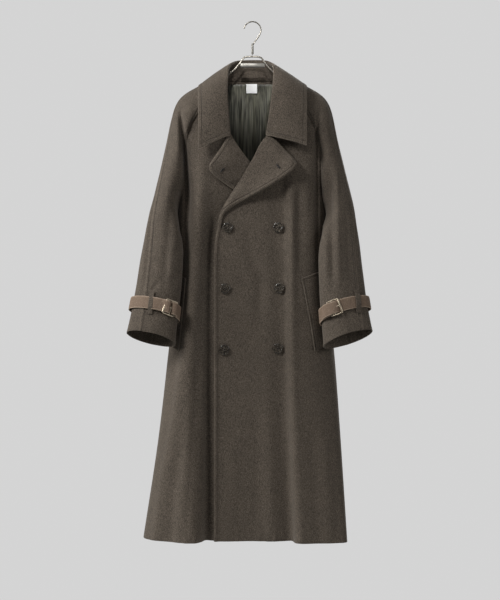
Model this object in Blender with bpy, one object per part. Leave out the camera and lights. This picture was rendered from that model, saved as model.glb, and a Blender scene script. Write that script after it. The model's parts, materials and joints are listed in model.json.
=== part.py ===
"""Double-breasted raglan overcoat hung on a wire hanger.

Metres, +Z up, +X to the wearer's left, the coat's front faces -Y.  The origin
is the point inside the top of the hook that rests on whatever holds it.  Sizes
called drop are measured down from there.
"""
import math
from typing import Callable, List, NamedTuple, Sequence, Tuple

import bmesh
import bpy
import numpy as np
from mathutils import Matrix, Vector
from mathutils.bvhtree import BVHTree

# Cloth
WOOL = 0.0022                 # wall of the coat cloth
COLLAR_WALL = 0.0026          # collar, two layers pressed together
COLLAR_ROLL = 0.0050          # radius of its fold
LINING_WALL = 0.0010
LINING_AIR = 0.0014           # between the back and its lining
LINING_PLEAT = 0.0045         # depth of the lining's centre pleat
SEAM_GAP = 0.0004             # between pieces at a seam
SQUARENESS = 3.0              # how flat the body's front and back are

# Heights
HEM = 1.286                   # drop of the hem
UNDERARM = 0.480              # drop of the underarm points
NECK_FRONT = 0.155            # drop of the front panels' neck ends
NECK_BACK = 0.142             # drop of the back panel's neck edge
BREAK = 0.512                 # drop where the lapels leave the front edge
GORGE = 0.292                 # drop where collar and lapel meet

# Fronts
UNDERLAP_CUT = 0.026          # the right front reaches this much less far below the break
LAPEL_AIR = 0.0022            # air under a lapel at its fold
RIGHT_TIP_LOWER = 0.010       # the right collar tip hangs this much lower
LAPEL_CLEAR = {"left": 0.0, "right": 0.0010}   # extra air under the leaf
LAPEL_FOOT = 0.508            # drop of a lapel's first row
LAPEL_TOP = 0.2905            # drop of its last row, under the collar's end
NECK_WIDER = 0.006            # the right neck edge lies this much wider,
NECK_WIDER_END = 0.420        # down to this drop
NECK_WIDER_OVER = 0.080
ROLL_WIDER = 0.0155           # and the right roll line bows out by this
ROLL_WIDER_AT = 0.312
ROLL_WIDER_OVER = 0.038

# Sleeves
OVERARM_TURN = {"right": -66.0, "left": -57.0}   # degrees from the outer side
UNDERARM_TURN = 85.0
LEFT_ARM_DRAW = 0.016         # the left cuff hangs this much closer in,
LEFT_ARM_AHEAD = 0.014        # and this much further ahead of the body
LEFT_ARM_TILT = 0.08          # and its cuff slants by this much more
DRAW_EASE = 0.6               # most of it by the elbow

# Trim
BUTTON_RADIUS = 0.0125
BUTTON_THICK = 0.0042
STRAP_WIDTH = 0.032
STRAP_WALL = 0.0024
WELT_WALL = 0.0026
BULGE_FROM = 0.080
BULGE_OVER = 0.100
SLEEVE_LEAN = (0.40, 0.92, 0.30)
UNDERARM_OUT = 0.004
UNDERARM_AHEAD = 0.052
UNDERARM_BEHIND = 0.040
UNDERARM_RISE = 0.010
LINING_TOP = 0.149
LINING_SHORT = 0.030
PLEAT_X = -0.004
PLEAT_HALF = 0.012
STRAP_AIR = 0.0011
LOOP_AIR = 0.0004
LOOP_WALL = 0.0018
STRAP_POINTS = 28
LOOSE_AT = 0.80
LOOSE_OVER = 0.075
HANGER_PLANE = 0.0035
WIRE_AIR = 0.0004
STEM_BEND = ((0.0150, 0.0365), (0.0095, 0.0440), (0.0042, 0.0505), (0.0008, 0.0570), (0.0, 0.0640))
BAR_LONG = 0.062
BAR_DEEP = 0.0028
BAR_TALL = 0.0110
BAR_DROP = 0.1085
BAR_BEVEL = 0.0008
LABEL_X = -0.0020             # middle of the neck label
LABEL_HALF = 0.0138
LABEL_TOP = 0.1495
LABEL_FOOT = 0.1725
LABEL_WALL = 0.0010
LABEL_STAND = 0.0028          # its face ahead of the lining
BUCKLE_HALF_LONG = 0.0135     # along the strap
BUCKLE_HALF_TALL = 0.0185
BUCKLE_BAR = 0.0020           # radius of the frame's bars
BUCKLE_CORNER = 0.0040
BUCKLE_STAND = 0.0015         # frame's middle above the strap

# Hanger
HOOK_WIRE = 0.0018            # radius of the hook's wire
ARM_WIRE = 0.0024             # radius of the shoulder wire
HOOK_RADIUS = 0.0215          # centreline of the hook's bend


class Section(NamedTuple):
    """One level of the body: half-widths, depths and where the sides lie."""
    drop: float
    right_half: float
    left_half: float
    front: float
    back: float
    right_side: float
    left_side: float


BODY = (
    Section(0.130, 0.140, 0.138, 0.032, 0.046, 0.004, 0.004),
    Section(0.200, 0.172, 0.168, 0.052, 0.054, 0.004, 0.004),
    Section(0.300, 0.186, 0.181, 0.061, 0.056, 0.008, 0.006),
    Section(0.480, 0.190, 0.184, 0.067, 0.054, 0.016, 0.014),
    Section(0.660, 0.194, 0.188, 0.072, 0.054, 0.020, 0.014),
    Section(0.820, 0.2105, 0.204, 0.074, 0.056, 0.014, -0.002),
    Section(1.030, 0.234, 0.2175, 0.075, 0.062, 0.006, -0.036),
    Section(HEM, 0.2725, 0.2320, 0.076, 0.072, 0.000, -0.074),
)


class Fold(NamedTuple):
    """One long fold: its line, its rise at the hem, and its two slopes."""
    panel: str
    x_start: float
    x_hem: float
    start: float
    rise: float
    slope_right_start: float
    slope_right_hem: float
    slope_left_start: float
    slope_left_hem: float


FOLDS = (
    Fold("front_left", 0.088, 0.112, 0.34, 0.033, 0.030, 0.010, 0.050, 0.150),
    Fold("front_left", -0.020, -0.010, 0.55, -0.005, 0.040, 0.050, 0.040, 0.050),
    Fold("front_right", -0.126, -0.150, 0.34, 0.036, 0.045, 0.064, 0.026, 0.042),
    Fold("back", -0.105, -0.150, 0.45, 0.020, 0.040, 0.045, 0.035, 0.040),
    Fold("back", -0.030, -0.020, 0.60, -0.012, 0.030, 0.050, 0.030, 0.040),
    Fold("back", 0.080, 0.110, 0.50, 0.017, 0.035, 0.045, 0.035, 0.050),
)


class EdgeStation(NamedTuple):
    """The inner edge of the left front: neck seam, roll line, front edge."""
    drop: float
    x: float


EDGE = (
    EdgeStation(0.155, 0.0700),
    EdgeStation(0.220, 0.0600),
    EdgeStation(0.2774, 0.0495),
    EdgeStation(0.3105, 0.0225),
    EdgeStation(0.3594, -0.0014),
    EdgeStation(0.450, -0.0577),
    EdgeStation(0.512, -0.0905),
    EdgeStation(0.560, -0.0940),
    EdgeStation(HEM, -0.0945),
)


class RaglanRow(NamedTuple):
    """A sleeve row above the underarm, from the overarm seam to the body."""
    over_out: float
    over_y: float
    over_drop: float
    front_out: float
    front_drop: float
    back_out: float
    back_drop: float
    turn: float
    lead_front: float
    lead_back: float
    swell_front: float
    swell_back: float


RAGLAN = (
    RaglanRow(0.074, 0.004, 0.131, 0.083, NECK_FRONT, 0.066, NECK_BACK, 0, 0.010, 0.012, 0.012, 0.012),
    RaglanRow(0.110, 0.003, 0.1485, 0.112, 0.198, 0.098, 0.190, 0, 0.020, 0.022, 0.014, 0.012),
    RaglanRow(0.150, 0.002, 0.1685, 0.139, 0.245, 0.130, 0.245, 5, 0.028, 0.026, 0.022, 0.016),
    RaglanRow(0.186, -0.001, 0.1945, 0.162, 0.294, 0.156, 0.305, 12, 0.034, 0.030, 0.029, 0.022),
    RaglanRow(0.2015, -0.008, 0.240, 0.169, 0.345, 0.170, 0.365, 20, 0.036, 0.036, 0.036, 0.030),
    RaglanRow(0.2115, -0.018, 0.3135, 0.170, 0.410, 0.178, 0.425, 32, 0.040, 0.046, 0.044, 0.038),
)


class ArmRow(NamedTuple):
    """A sleeve row below the underarm: an oval, turned and tilted."""
    out: float
    y: float
    drop: float
    half_width: float
    half_depth: float
    yaw: float
    rise_out: float
    fall_back: float


ARM = (
    ArmRow(0.2120, -0.044, 0.470, 0.0460, 0.038, 24, 0.04, 0.00),
    ArmRow(0.2190, -0.059, 0.560, 0.0530, 0.035, 20, 0.09, 0.12),
    ArmRow(0.2290, -0.071, 0.660, 0.0565, 0.034, 14, 0.19, 0.28),
    ArmRow(0.2390, -0.080, 0.732, 0.0575, 0.034, 9, 0.26, 0.42),
    ArmRow(0.2475, -0.088, 0.789, 0.0600, 0.034, 5, 0.25, 0.46),
)


class CollarStation(NamedTuple):
    """Collar lines for one half, front end first: roll line and outer edge."""
    share: float
    roll_x: float
    roll_y: float
    roll_drop: float
    edge_x: float
    edge_y: float
    edge_drop: float
    swell: float
    right_wider: float


COLLAR = (
    CollarStation(0.00, 0.0315, -0.0700, 0.2880, 0.1325, -0.0800, 0.3170, 0.004, 0.0210),
    CollarStation(0.22, 0.0440, -0.0665, 0.2040, 0.1330, -0.0745, 0.2620, 0.007, 0.0155),
    CollarStation(0.42, 0.0500, -0.0460, 0.1420, 0.1340, -0.0640, 0.2050, 0.007, 0.0100),
    CollarStation(0.50, 0.0500, -0.0230, 0.1180, 0.1350, -0.0400, 0.1690, 0.004, 0.0070),
    CollarStation(0.58, 0.0475, -0.0020, 0.1060, 0.1360, -0.0040, 0.1555, 0.000, 0.0050),
    CollarStation(0.67, 0.0415, 0.0220, 0.0990, 0.1180, 0.0340, 0.1510, 0.002, 0.0040),
    CollarStation(0.76, 0.0350, 0.0375, 0.0915, 0.0950, 0.0600, 0.1560, 0.005, 0.0020),
    CollarStation(0.88, 0.0220, 0.0450, 0.0872, 0.0500, 0.0760, 0.1630, 0.008, 0.0000),
    CollarStation(1.00, 0.0000, 0.0465, 0.0862, 0.0000, 0.0800, 0.1660, 0.008, 0.0000),
)


class LapelStation(NamedTuple):
    """The free edge of a lapel, row by row from the break, as for the left side."""
    x: float
    drop: float
    lift: float


LAPELS = {
    "left": (
        LapelStation(-0.0770, 0.5150, 0.0000), LapelStation(-0.0735, 0.4885, 0.0003),
        LapelStation(-0.0640, 0.4790, 0.0008), LapelStation(-0.0490, 0.4665, 0.0020),
        LapelStation(-0.0260, 0.4530, 0.0035), LapelStation(0.0060, 0.4355, 0.0050),
        LapelStation(0.0560, 0.4080, 0.0080), LapelStation(0.1045, 0.3755, 0.0110),
        LapelStation(0.1085, 0.3590, 0.0110), LapelStation(0.0790, 0.3270, 0.0060),
        LapelStation(0.0490, 0.2945, 0.0020)),
    "right": (
        LapelStation(-0.0760, 0.5150, 0.0000), LapelStation(-0.0730, 0.4900, 0.0002),
        LapelStation(-0.0630, 0.4810, 0.0006), LapelStation(-0.0480, 0.4690, 0.0015),
        LapelStation(-0.0250, 0.4570, 0.0028), LapelStation(0.0090, 0.4460, 0.0040),
        LapelStation(0.0580, 0.4180, 0.0064), LapelStation(0.1040, 0.3835, 0.0090),
        LapelStation(0.1090, 0.3670, 0.0090), LapelStation(0.0810, 0.3310, 0.0050),
        LapelStation(0.0630, 0.2965, 0.0016)),
}


class ButtonPlace(NamedTuple):
    """A button's centre on the left front."""
    x: float
    drop: float


BUTTONS = (
    ButtonPlace(-0.0605, 0.5170), ButtonPlace(0.0625, 0.5165),
    ButtonPlace(-0.0665, 0.6665), ButtonPlace(0.0650, 0.6660),
    ButtonPlace(-0.0690, 0.8165), ButtonPlace(0.0620, 0.8135),
)


class Welt(NamedTuple):
    """A slanted pocket welt: the line of its inner edge and its width."""
    panel: str
    x_top: float
    x_foot: float
    drop_top: float
    drop_foot: float
    width: float
    rise: float


WELTS = {
    "welt_left": Welt("front_left", 0.1185, 0.1500, 0.6420, 0.8210, 0.040, 0.016),
    "welt_right": Welt("front_right", -0.1610, -0.1770, 0.6420, 0.8210, -0.022, 0.010),
}


class StrapPlace(NamedTuple):
    """Where a sleeve strap, its loop and its buckle sit."""
    row: float
    slack: float
    buckle_share: float
    loop_from: float
    loop_to: float


STRAPS = {
    "right": StrapPlace(8.78, 0.004, 0.31, 0.060, 0.105),
    "left": StrapPlace(8.80, 0.003, 0.280, 0.000, 0.050),
}

for old in list(bpy.data.objects):
    bpy.data.objects.remove(old, do_unlink=True)


def smooth_step(value: float) -> float:
    """Ease from 0 to 1."""
    value = min(1.0, max(0.0, value))
    return value * value * (3.0 - 2.0 * value)


def curve_through(knots: Sequence[float], rows: Sequence[Sequence[float]]) -> Callable:
    """Cubic that passes the knots in order and doesn't overshoot them."""
    at = np.array(knots, dtype=float)
    values = np.array(rows, dtype=float)
    step = np.diff(at)[:, None]
    rate = np.diff(values, axis=0) / step
    slopes = np.zeros_like(values)
    slopes[0], slopes[-1] = rate[0], rate[-1]
    for i in range(1, len(at) - 1):
        same = rate[i - 1] * rate[i] > 0
        total = np.where(same, rate[i - 1] + rate[i], 1.0)
        slopes[i] = np.where(same, 2.0 * rate[i - 1] * rate[i] / total, 0.0)

    def value(where: float) -> np.ndarray:
        where = min(max(where, at[0]), at[-1])
        i = min(int(np.searchsorted(at, where, side="right")) - 1, len(at) - 2)
        span = at[i + 1] - at[i]
        f = (where - at[i]) / span
        h = (2 * f ** 3 - 3 * f ** 2 + 1, f ** 3 - 2 * f ** 2 + f, 3 * f ** 2 - 2 * f ** 3, f ** 3 - f ** 2)
        return (h[0] * values[i] + h[1] * span * slopes[i]
                + h[2] * values[i + 1] + h[3] * span * slopes[i + 1])
    return value


def unit(vector: np.ndarray) -> np.ndarray:
    """The vector at length one."""
    length = float(np.linalg.norm(vector))
    return vector / length if length > 1e-12 else vector


def table_curve(table: Sequence[NamedTuple]) -> Callable:
    """Curve over a table whose first column is the place along it."""
    return curve_through([row[0] for row in table], [row[1:] for row in table])


body_at = table_curve(BODY)
edge_at = table_curve(EDGE)
collar_at = table_curve(COLLAR)


def fold_height(panel: str, x: float, drop: float) -> float:
    """How far the panel's folds push its cloth out."""
    height = 0.0
    for fold in FOLDS:
        if fold.panel != panel or drop <= fold.start:
            continue
        grown = (drop - fold.start) / (HEM - fold.start)
        away = x - (fold.x_start + grown * (fold.x_hem - fold.x_start))
        if away < 0:
            slope = fold.slope_right_start + grown * (fold.slope_right_hem - fold.slope_right_start)
        else:
            slope = fold.slope_left_start + grown * (fold.slope_left_hem - fold.slope_left_start)
        height += fold.rise * grown ** 0.8 * math.exp(-(away / slope) ** 2)
    return height


def half_width(side: float, drop: float) -> float:
    """Half-width of the body on one side."""
    return float(body_at(drop)[1 if side > 0 else 0])


# Rows that the sleeves and the panels beside them share
RAGLAN_END = len(RAGLAN)
RAGLAN_ROWS = [RAGLAN_END * i / 9.0 for i in range(10)]
seam_drop = curve_through(range(RAGLAN_END + 1), [(row.front_drop,) for row in RAGLAN] + [(UNDERARM,)])
UPPER_DROPS = [float(seam_drop(row)[0]) for row in RAGLAN_ROWS]
LOWER_DROPS = [UNDERARM + (HEM - UNDERARM) * (i / 13.0) ** 0.96 for i in range(1, 14)]
FRONT_DROPS = UPPER_DROPS + LOWER_DROPS


LAPEL_ROWS = [d for d in reversed(UPPER_DROPS) if d > GORGE]


def neck_shift(drop: float) -> float:
    """How much wider the right front's neck and roll lie than the left's."""
    wider = NECK_WIDER * smooth_step((NECK_WIDER_END - drop) / NECK_WIDER_OVER)
    return wider + ROLL_WIDER * math.exp(-((drop - ROLL_WIDER_AT) / ROLL_WIDER_OVER) ** 2)


def inner_edge(side: str, drop: float) -> float:
    """Distance of a front's inner edge from the middle, straight from row to row."""
    shift = neck_shift if side == "right" else lambda d: 0.0
    return float(np.interp(drop, FRONT_DROPS, [float(edge_at(d)[0]) + shift(d) for d in FRONT_DROPS]))


def covered(x: float, drop: float) -> float:
    """How far a place on the right front lies under the left one, 0 to 1."""
    return smooth_step((x - float(edge_at(drop)[0]) + 0.050) / 0.034)


def body_y(panel: str, x: float, drop: float) -> float:
    """Outer face of a body panel."""
    right, left, front, back, right_side, left_side = body_at(drop)
    half, side = (left, left_side) if x > 0 else (right, right_side)
    share = (1.0 - min(1.0, abs(x) / half) ** SQUARENESS) ** (1.0 / SQUARENESS)
    fold = fold_height(panel, x, drop) * min(1.0, 2.2 * share)
    if panel == "back":
        return side + (back - side) * share + fold
    y = side + (-front - side) * share
    if panel == "front_left":
        return y - fold
    under = covered(x, drop)
    room = 0.0096 - 0.0052 * smooth_step((drop - 0.53) / 0.12)
    over = fold_height("front_left", x, drop) * min(1.0, 2.2 * share)
    return y - fold * (1.0 - under) + under * (room - over)


def side_sign(side: str) -> float:
    """+1 for the wearer's left, -1 for the right."""
    return 1.0 if side == "left" else -1.0


def arm_controls(row: ArmRow, side: str) -> np.ndarray:
    """Control points of an oval sleeve row: four in front, four behind."""
    start = math.radians(OVERARM_TURN[side])
    end = math.radians(UNDERARM_TURN)
    yaw = math.radians(row.yaw)

    def place(angle: float, speed: float) -> np.ndarray:
        wide = row.half_width * (math.cos(angle) - speed * math.sin(angle))
        deep = row.half_depth * (math.sin(angle) + speed * math.cos(angle))
        out = wide * math.cos(yaw) - deep * math.sin(yaw)
        y = wide * math.sin(yaw) + deep * math.cos(yaw)
        return np.array((row.out + out, row.y + y, -row.drop + row.rise_out * out - row.fall_back * y))

    rows = []
    for finish in (end - 2.0 * math.pi, end):
        pull = 4.0 / 3.0 * math.tan((finish - start) / 4.0)
        rows += [place(start, 0.0), place(start, pull), place(finish, -pull), place(finish, 0.0)]
    return np.array(rows)


def raglan_controls(row: RaglanRow, side: str) -> np.ndarray:
    """Control points of a sleeve row that ends on the body panels."""
    sign = side_sign(side)
    front_panel = "front_" + side
    over = np.array((row.over_out, row.over_y, -row.over_drop))
    ahead = np.array((-math.sin(math.radians(row.turn)), -math.cos(math.radians(row.turn)), 0.0))
    front_y = body_y(front_panel, sign * row.front_out, row.front_drop)
    back_y = body_y("back", sign * row.back_out, row.back_drop)
    front = np.array((row.front_out, front_y, -row.front_drop))
    back = np.array((row.back_out, back_y, -row.back_drop))
    bulge = smooth_step((row.over_out - BULGE_FROM) / BULGE_OVER)
    out, away, up = SLEEVE_LEAN
    lean_front = unit(over - front) + bulge * (np.array((out, -away, up)) - unit(over - front))
    lean_back = unit(over - back) + bulge * (np.array((out, away, up)) - unit(over - back))
    return np.array((
        over, over + row.lead_front * ahead, front + row.swell_front * lean_front, front,
        over, over - row.lead_back * ahead, back + row.swell_back * lean_back, back))


def underarm_controls(side: str) -> np.ndarray:
    """Control points of the row that reaches the top of the side seam."""
    sign = side_sign(side)
    rows = arm_controls(ARM[0], side)
    out = half_width(sign, UNDERARM)
    meet = np.array((out, float(body_at(UNDERARM)[5 if sign > 0 else 4]), -UNDERARM))
    rows[2] = meet + np.array((UNDERARM_OUT, -UNDERARM_AHEAD, UNDERARM_RISE))
    rows[6] = meet + np.array((UNDERARM_OUT, UNDERARM_BEHIND, UNDERARM_RISE))
    rows[3] = rows[7] = meet
    return rows


ARM_END = len(RAGLAN) + len(ARM) - 1


def sleeve_curve(side: str) -> Callable:
    """Control points of a sleeve's row, at a place counted in table rows."""
    rows = [raglan_controls(row, side) for row in RAGLAN]
    rows.append(underarm_controls(side))
    rows += [arm_controls(row, side) for row in ARM[1:]]
    if side == "left":
        reach = ARM[-1].drop - UNDERARM
        for row in rows:
            share = np.clip((-row[:, 2] - UNDERARM) / reach, 0.0, 1.0) ** DRAW_EASE
            row[:, 0] -= LEFT_ARM_DRAW * share
            row[:, 1] -= LEFT_ARM_AHEAD * share
            row[:, 2] += LEFT_ARM_TILT * share * (row[:, 0] - row[:, 0].mean())
    return curve_through(range(len(rows)), [row.reshape(-1) for row in rows])


SLEEVES = {side: sleeve_curve(side) for side in ("left", "right")}


def sleeve_point(side: str, piece: str, row: float, share: float) -> np.ndarray:
    """A point on a sleeve piece, from the overarm seam (0) to the other (1)."""
    controls = SLEEVES[side](row).reshape(8, 3)
    p = controls[:4] if piece == "front" else controls[4:]
    if row > RAGLAN_END:
        shift = 0.5 * (controls[3] + controls[7]) - p[3]
        p = p + np.outer((0.0, 0.0, 1.0, 1.0), shift)
    f, g = share, 1.0 - share
    point = g ** 3 * p[0] + 3 * g * g * f * p[1] + 3 * g * f * f * p[2] + f ** 3 * p[3]
    return point * np.array((side_sign(side), 1.0, 1.0))


def normals_of(surface: Callable, us: Sequence[float], vs: Sequence[float], outward: Callable) -> List:
    """Face directions of a surface, turned to the side the cloth shows."""
    rows = []
    du = 1e-4 * (us[-1] - us[0])
    dv = 1e-4 * (vs[-1] - vs[0])
    for v in vs:
        row = []
        for u in us:
            u0, u1 = max(us[0], u - du), min(us[-1], u + du)
            v0, v1 = max(vs[0], v - dv), min(vs[-1], v + dv)
            if dv < 0:
                v0, v1 = min(vs[0], v - dv), max(vs[-1], v + dv)
            row.append(unit(np.cross(surface(u1, v) - surface(u0, v), surface(u, v1) - surface(u, v0))))
        rows.append(row)
    agree = sum(float(np.dot(n, outward(u, v))) for v, row in zip(vs, rows) for u, n in zip(us, row))
    return rows if agree > 0 else [[-n for n in row] for row in rows]


def pull_in(points: List[List[np.ndarray]], first: bool, last: bool) -> None:
    """Move the end columns of a grid in by half a seam gap."""
    half = 0.5 * SEAM_GAP
    for row in points:
        if first:
            row[0] = row[0] + half * unit(row[1] - row[0])
        if last:
            row[-1] = row[-1] + half * unit(row[-2] - row[-1])


def new_material(name: str, colour: Tuple[float, float, float], roughness: float, metallic: float = 0.0):
    """A plain surface for one node."""
    made = bpy.data.materials.new(name)
    made.use_nodes = True
    shader = made.node_tree.nodes["Principled BSDF"]
    shader.inputs["Base Color"].default_value = (*colour, 1.0)
    shader.inputs["Roughness"].default_value = roughness
    shader.inputs["Metallic"].default_value = metallic
    return made


FINISHES = {
    "wool": ((0.070, 0.055, 0.042), 0.95, 0.0),
    "satin": ((0.055, 0.050, 0.036), 0.45, 0.0),
    "label": ((0.62, 0.62, 0.60), 0.80, 0.0),
    "webbing": ((0.160, 0.112, 0.078), 0.85, 0.0),
    "horn": ((0.095, 0.068, 0.042), 0.35, 0.0),
    "steel": ((0.46, 0.45, 0.43), 0.30, 1.0),
    "bar": ((0.50, 0.48, 0.45), 0.45, 1.0),
    "buckle": ((0.52, 0.44, 0.33), 0.40, 0.0),
}


def finish(name: str, mesh: bpy.types.Mesh, surface: str, smooth: bool = True) -> bpy.types.Object:
    """Put a finished mesh in the scene as a node of its own."""
    node = bpy.data.objects.new(name, mesh)
    bpy.context.scene.collection.objects.link(node)
    mesh.materials.append(new_material(name + "_" + surface, *FINISHES[surface]))
    for face in mesh.polygons:
        face.use_smooth = smooth
    return node


def mesh_from(name: str, points: Sequence, faces: Sequence) -> bpy.types.Mesh:
    """A mesh whose faces all look outward."""
    shape = bmesh.new()
    verts = [shape.verts.new(tuple(float(c) for c in point)) for point in points]
    for face in faces:
        shape.faces.new([verts[i] for i in face])
    bmesh.ops.recalc_face_normals(shape, faces=shape.faces)
    mesh = bpy.data.meshes.new(name)
    shape.to_mesh(mesh)
    shape.free()
    return mesh


def cloth_wall(name: str, points: List, normals: List, thick: float, surface: str) -> bpy.types.Object:
    """A closed wall of cloth behind a grid of points on its shown face."""
    rows, columns = len(points), len(points[0])
    outer = [p for row in points for p in row]
    inner = [p - thick * n for prow, nrow in zip(points, normals) for p, n in zip(prow, nrow)]
    count = rows * columns
    faces = []
    for r in range(rows - 1):
        for c in range(columns - 1):
            a = r * columns + c
            b, d, e = a + 1, a + columns + 1, a + columns
            short = np.linalg.norm(outer[a] - outer[d]) <= np.linalg.norm(outer[b] - outer[e])
            for corner in ((a, b, d), (a, d, e)) if short else ((a, b, e), (b, d, e)):
                faces.append(corner)
                faces.append(tuple(count + i for i in reversed(corner)))
    rim = [c for c in range(columns)]
    rim += [r * columns + columns - 1 for r in range(1, rows)]
    rim += [(rows - 1) * columns + c for c in range(columns - 2, -1, -1)]
    rim += [r * columns for r in range(rows - 2, 0, -1)]
    for i, a in enumerate(rim):
        b = rim[(i + 1) % len(rim)]
        if outer[a][2] >= outer[b][2]:
            faces += [(b, a, count + b), (a, count + a, count + b)]
        else:
            faces += [(b, a, count + a), (b, count + a, count + b)]
    return finish(name, mesh_from(name, outer + inner, faces), surface)


def surface_wall(name: str, at: Callable, us: Sequence[float], vs: Sequence[float], outward: Callable,
                 thick: float, surface: str, seams: Tuple[bool, bool] = (True, True)) -> None:
    """Keep a wall of cloth on a surface given by a function, to be made when all are known."""
    points = [[at(u, v) for u in us] for v in vs]
    normals = normals_of(at, us, vs, outward)
    WALLS.append((name, points, normals, thick, surface, seams))


WALLS: List[Tuple] = []


def make_walls() -> None:
    """Make the kept walls; pieces that meet at a seam share its direction there."""
    edges = [(points[r][c], normals, r, c) for _, points, normals, _, _, seams in WALLS
             for r in range(len(points)) for c, sewn in ((0, seams[0]), (-1, seams[1])) if sewn]
    shared = []
    for p, normals, r, c in edges:
        own = normals[r][c]
        near = [n[k][m] for q, n, k, m in edges if float(np.abs(q - p).max()) < 2e-4]
        near = [n for n in near if float(np.dot(n, own)) > 0.1]
        shared.append(unit(sum(near, np.zeros(3))))
    for (p, normals, r, c), normal in zip(edges, shared):
        normals[r][c] = normal
    for name, points, normals, thick, surface, seams in WALLS:
        for line, facing in zip(points, normals):
            for end, sewn in ((0, seams[0]), (-1, seams[1])):
                for c in range(1, len(line) - 1) if sewn else ():
                    near = max(0.0, 1.0 - float(np.linalg.norm(line[c] - line[end])) / 0.006)
                    facing[c] = unit(facing[c] + near * (facing[end] - facing[c]))
        pull_in(points, *seams)
        cloth_wall(name, points, normals, thick, surface)


ARM_ROWS = [RAGLAN_END + (ARM_END - RAGLAN_END) * i / 8.0 for i in range(1, 9)]


def build_sleeve(side: str) -> None:
    """Front and back piece of one raglan sleeve."""
    vs = RAGLAN_ROWS + ARM_ROWS
    for piece, columns in (("front", 8), ("back", 9)):
        us = [i / columns for i in range(columns + 1)]

        def at(u: float, v: float) -> np.ndarray:
            return sleeve_point(side, piece, v, u)

        def outward(u: float, v: float) -> np.ndarray:
            middle = 0.5 * (sleeve_point(side, "front", v, 0.5) + sleeve_point(side, "back", v, 0.5))
            return at(u, v) - middle + np.array((0.0, 0.0, 0.02 if v < 3 else 0.0))
        surface_wall("sleeve_%s_%s" % (side, piece), at, us, vs, outward, WOOL, "wool")


def front_column(panel: str, u: float, drop: float, end_x: float) -> float:
    """Where a front's column lies across a row, from its inner edge (0) to its seam (1)."""
    sign = 1.0 if panel == "front_left" else -1.0
    edge = sign * inner_edge(panel[6:], drop)
    if panel == "front_right":
        edge -= UNDERLAP_CUT * smooth_step((drop - BREAK) / 0.16)
    fold = [f for f in FOLDS if f.panel == panel][0 if panel == "front_left" else -1]
    deep = max(drop, 0.56)
    grown = (deep - fold.start) / (HEM - fold.start)
    crest = fold.x_start + grown * (fold.x_hem - fold.x_start)
    deep_edge = sign * -0.0945
    deep_end = sign * half_width(sign, deep)
    crest_share = (crest - deep_edge) / (deep_end - deep_edge)
    split = 0.58
    if u <= split:
        share = crest_share * (u / split)
    else:
        beyond = (u - split) / (1.0 - split)
        round_side = smooth_step((drop - 0.40) / 0.10)
        beyond += round_side * (math.sin(0.5 * math.pi * beyond) - beyond)
        share = crest_share + (1.0 - crest_share) * beyond
    share = u + smooth_step((drop - 0.25) / 0.25) * (share - u)
    return edge + share * (end_x - edge)


def build_front(side: str) -> None:
    """One front panel, from its inner edge to the raglan and side seams."""
    panel = "front_" + side
    sign = side_sign(side)
    ends = [sleeve_point(side, "front", row, 1.0) for row in RAGLAN_ROWS]
    seam = curve_through([-p[2] for p in ends], [(p[0], p[1]) for p in ends])

    def at(u: float, drop: float) -> np.ndarray:
        if drop < UNDERARM:
            end_x, end_y = seam(drop)
        else:
            end_x = sign * half_width(sign, drop)
            end_y = body_y(panel, end_x, drop)
        x = front_column(panel, u, drop, float(end_x))
        y = body_y(panel, x, drop)
        y += smooth_step((u - 0.5) / 0.5) * (float(end_y) - body_y(panel, float(end_x), drop))
        return np.array((x, y, -drop))

    def outward(u: float, drop: float) -> np.ndarray:
        return at(u, drop) - np.array((0.0, 0.004, -drop))
    us = [i / 17.0 for i in range(18)]
    surface_wall(panel, at, us, FRONT_DROPS, outward, WOOL, "wool")


def back_row_end(side: str) -> Callable:
    """The back's seam with a sleeve, as a curve over the drop."""
    ends = [sleeve_point(side, "back", row, 1.0) for row in RAGLAN_ROWS]
    return curve_through([-p[2] for p in ends], [(p[0], p[1]) for p in ends])


BACK_SEAMS = {side: back_row_end(side) for side in ("left", "right")}
BACK_DROPS = [float(-sleeve_point("left", "back", row, 1.0)[2]) for row in RAGLAN_ROWS] + LOWER_DROPS


def back_point(u: float, drop: float) -> np.ndarray:
    """A point on the back panel, from its right seam (-1) to its left (1)."""
    side = "left" if u > 0 else "right"
    sign = side_sign(side)
    if drop < UNDERARM:
        end_x, end_y = (float(c) for c in BACK_SEAMS[side](drop))
    else:
        end_x = sign * half_width(sign, drop)
        end_y = body_y("back", end_x, drop)
    x = end_x * math.sin(0.5 * math.pi * abs(u)) if drop >= UNDERARM else end_x * (
        abs(u) + (math.sin(0.5 * math.pi * abs(u)) - abs(u)) * smooth_step((drop - 0.2) / 0.28))
    y = body_y("back", x, drop)
    y += smooth_step((abs(u) - 0.4) / 0.6) * (end_y - body_y("back", end_x, drop))
    return np.array((x, y, -drop))


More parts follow.
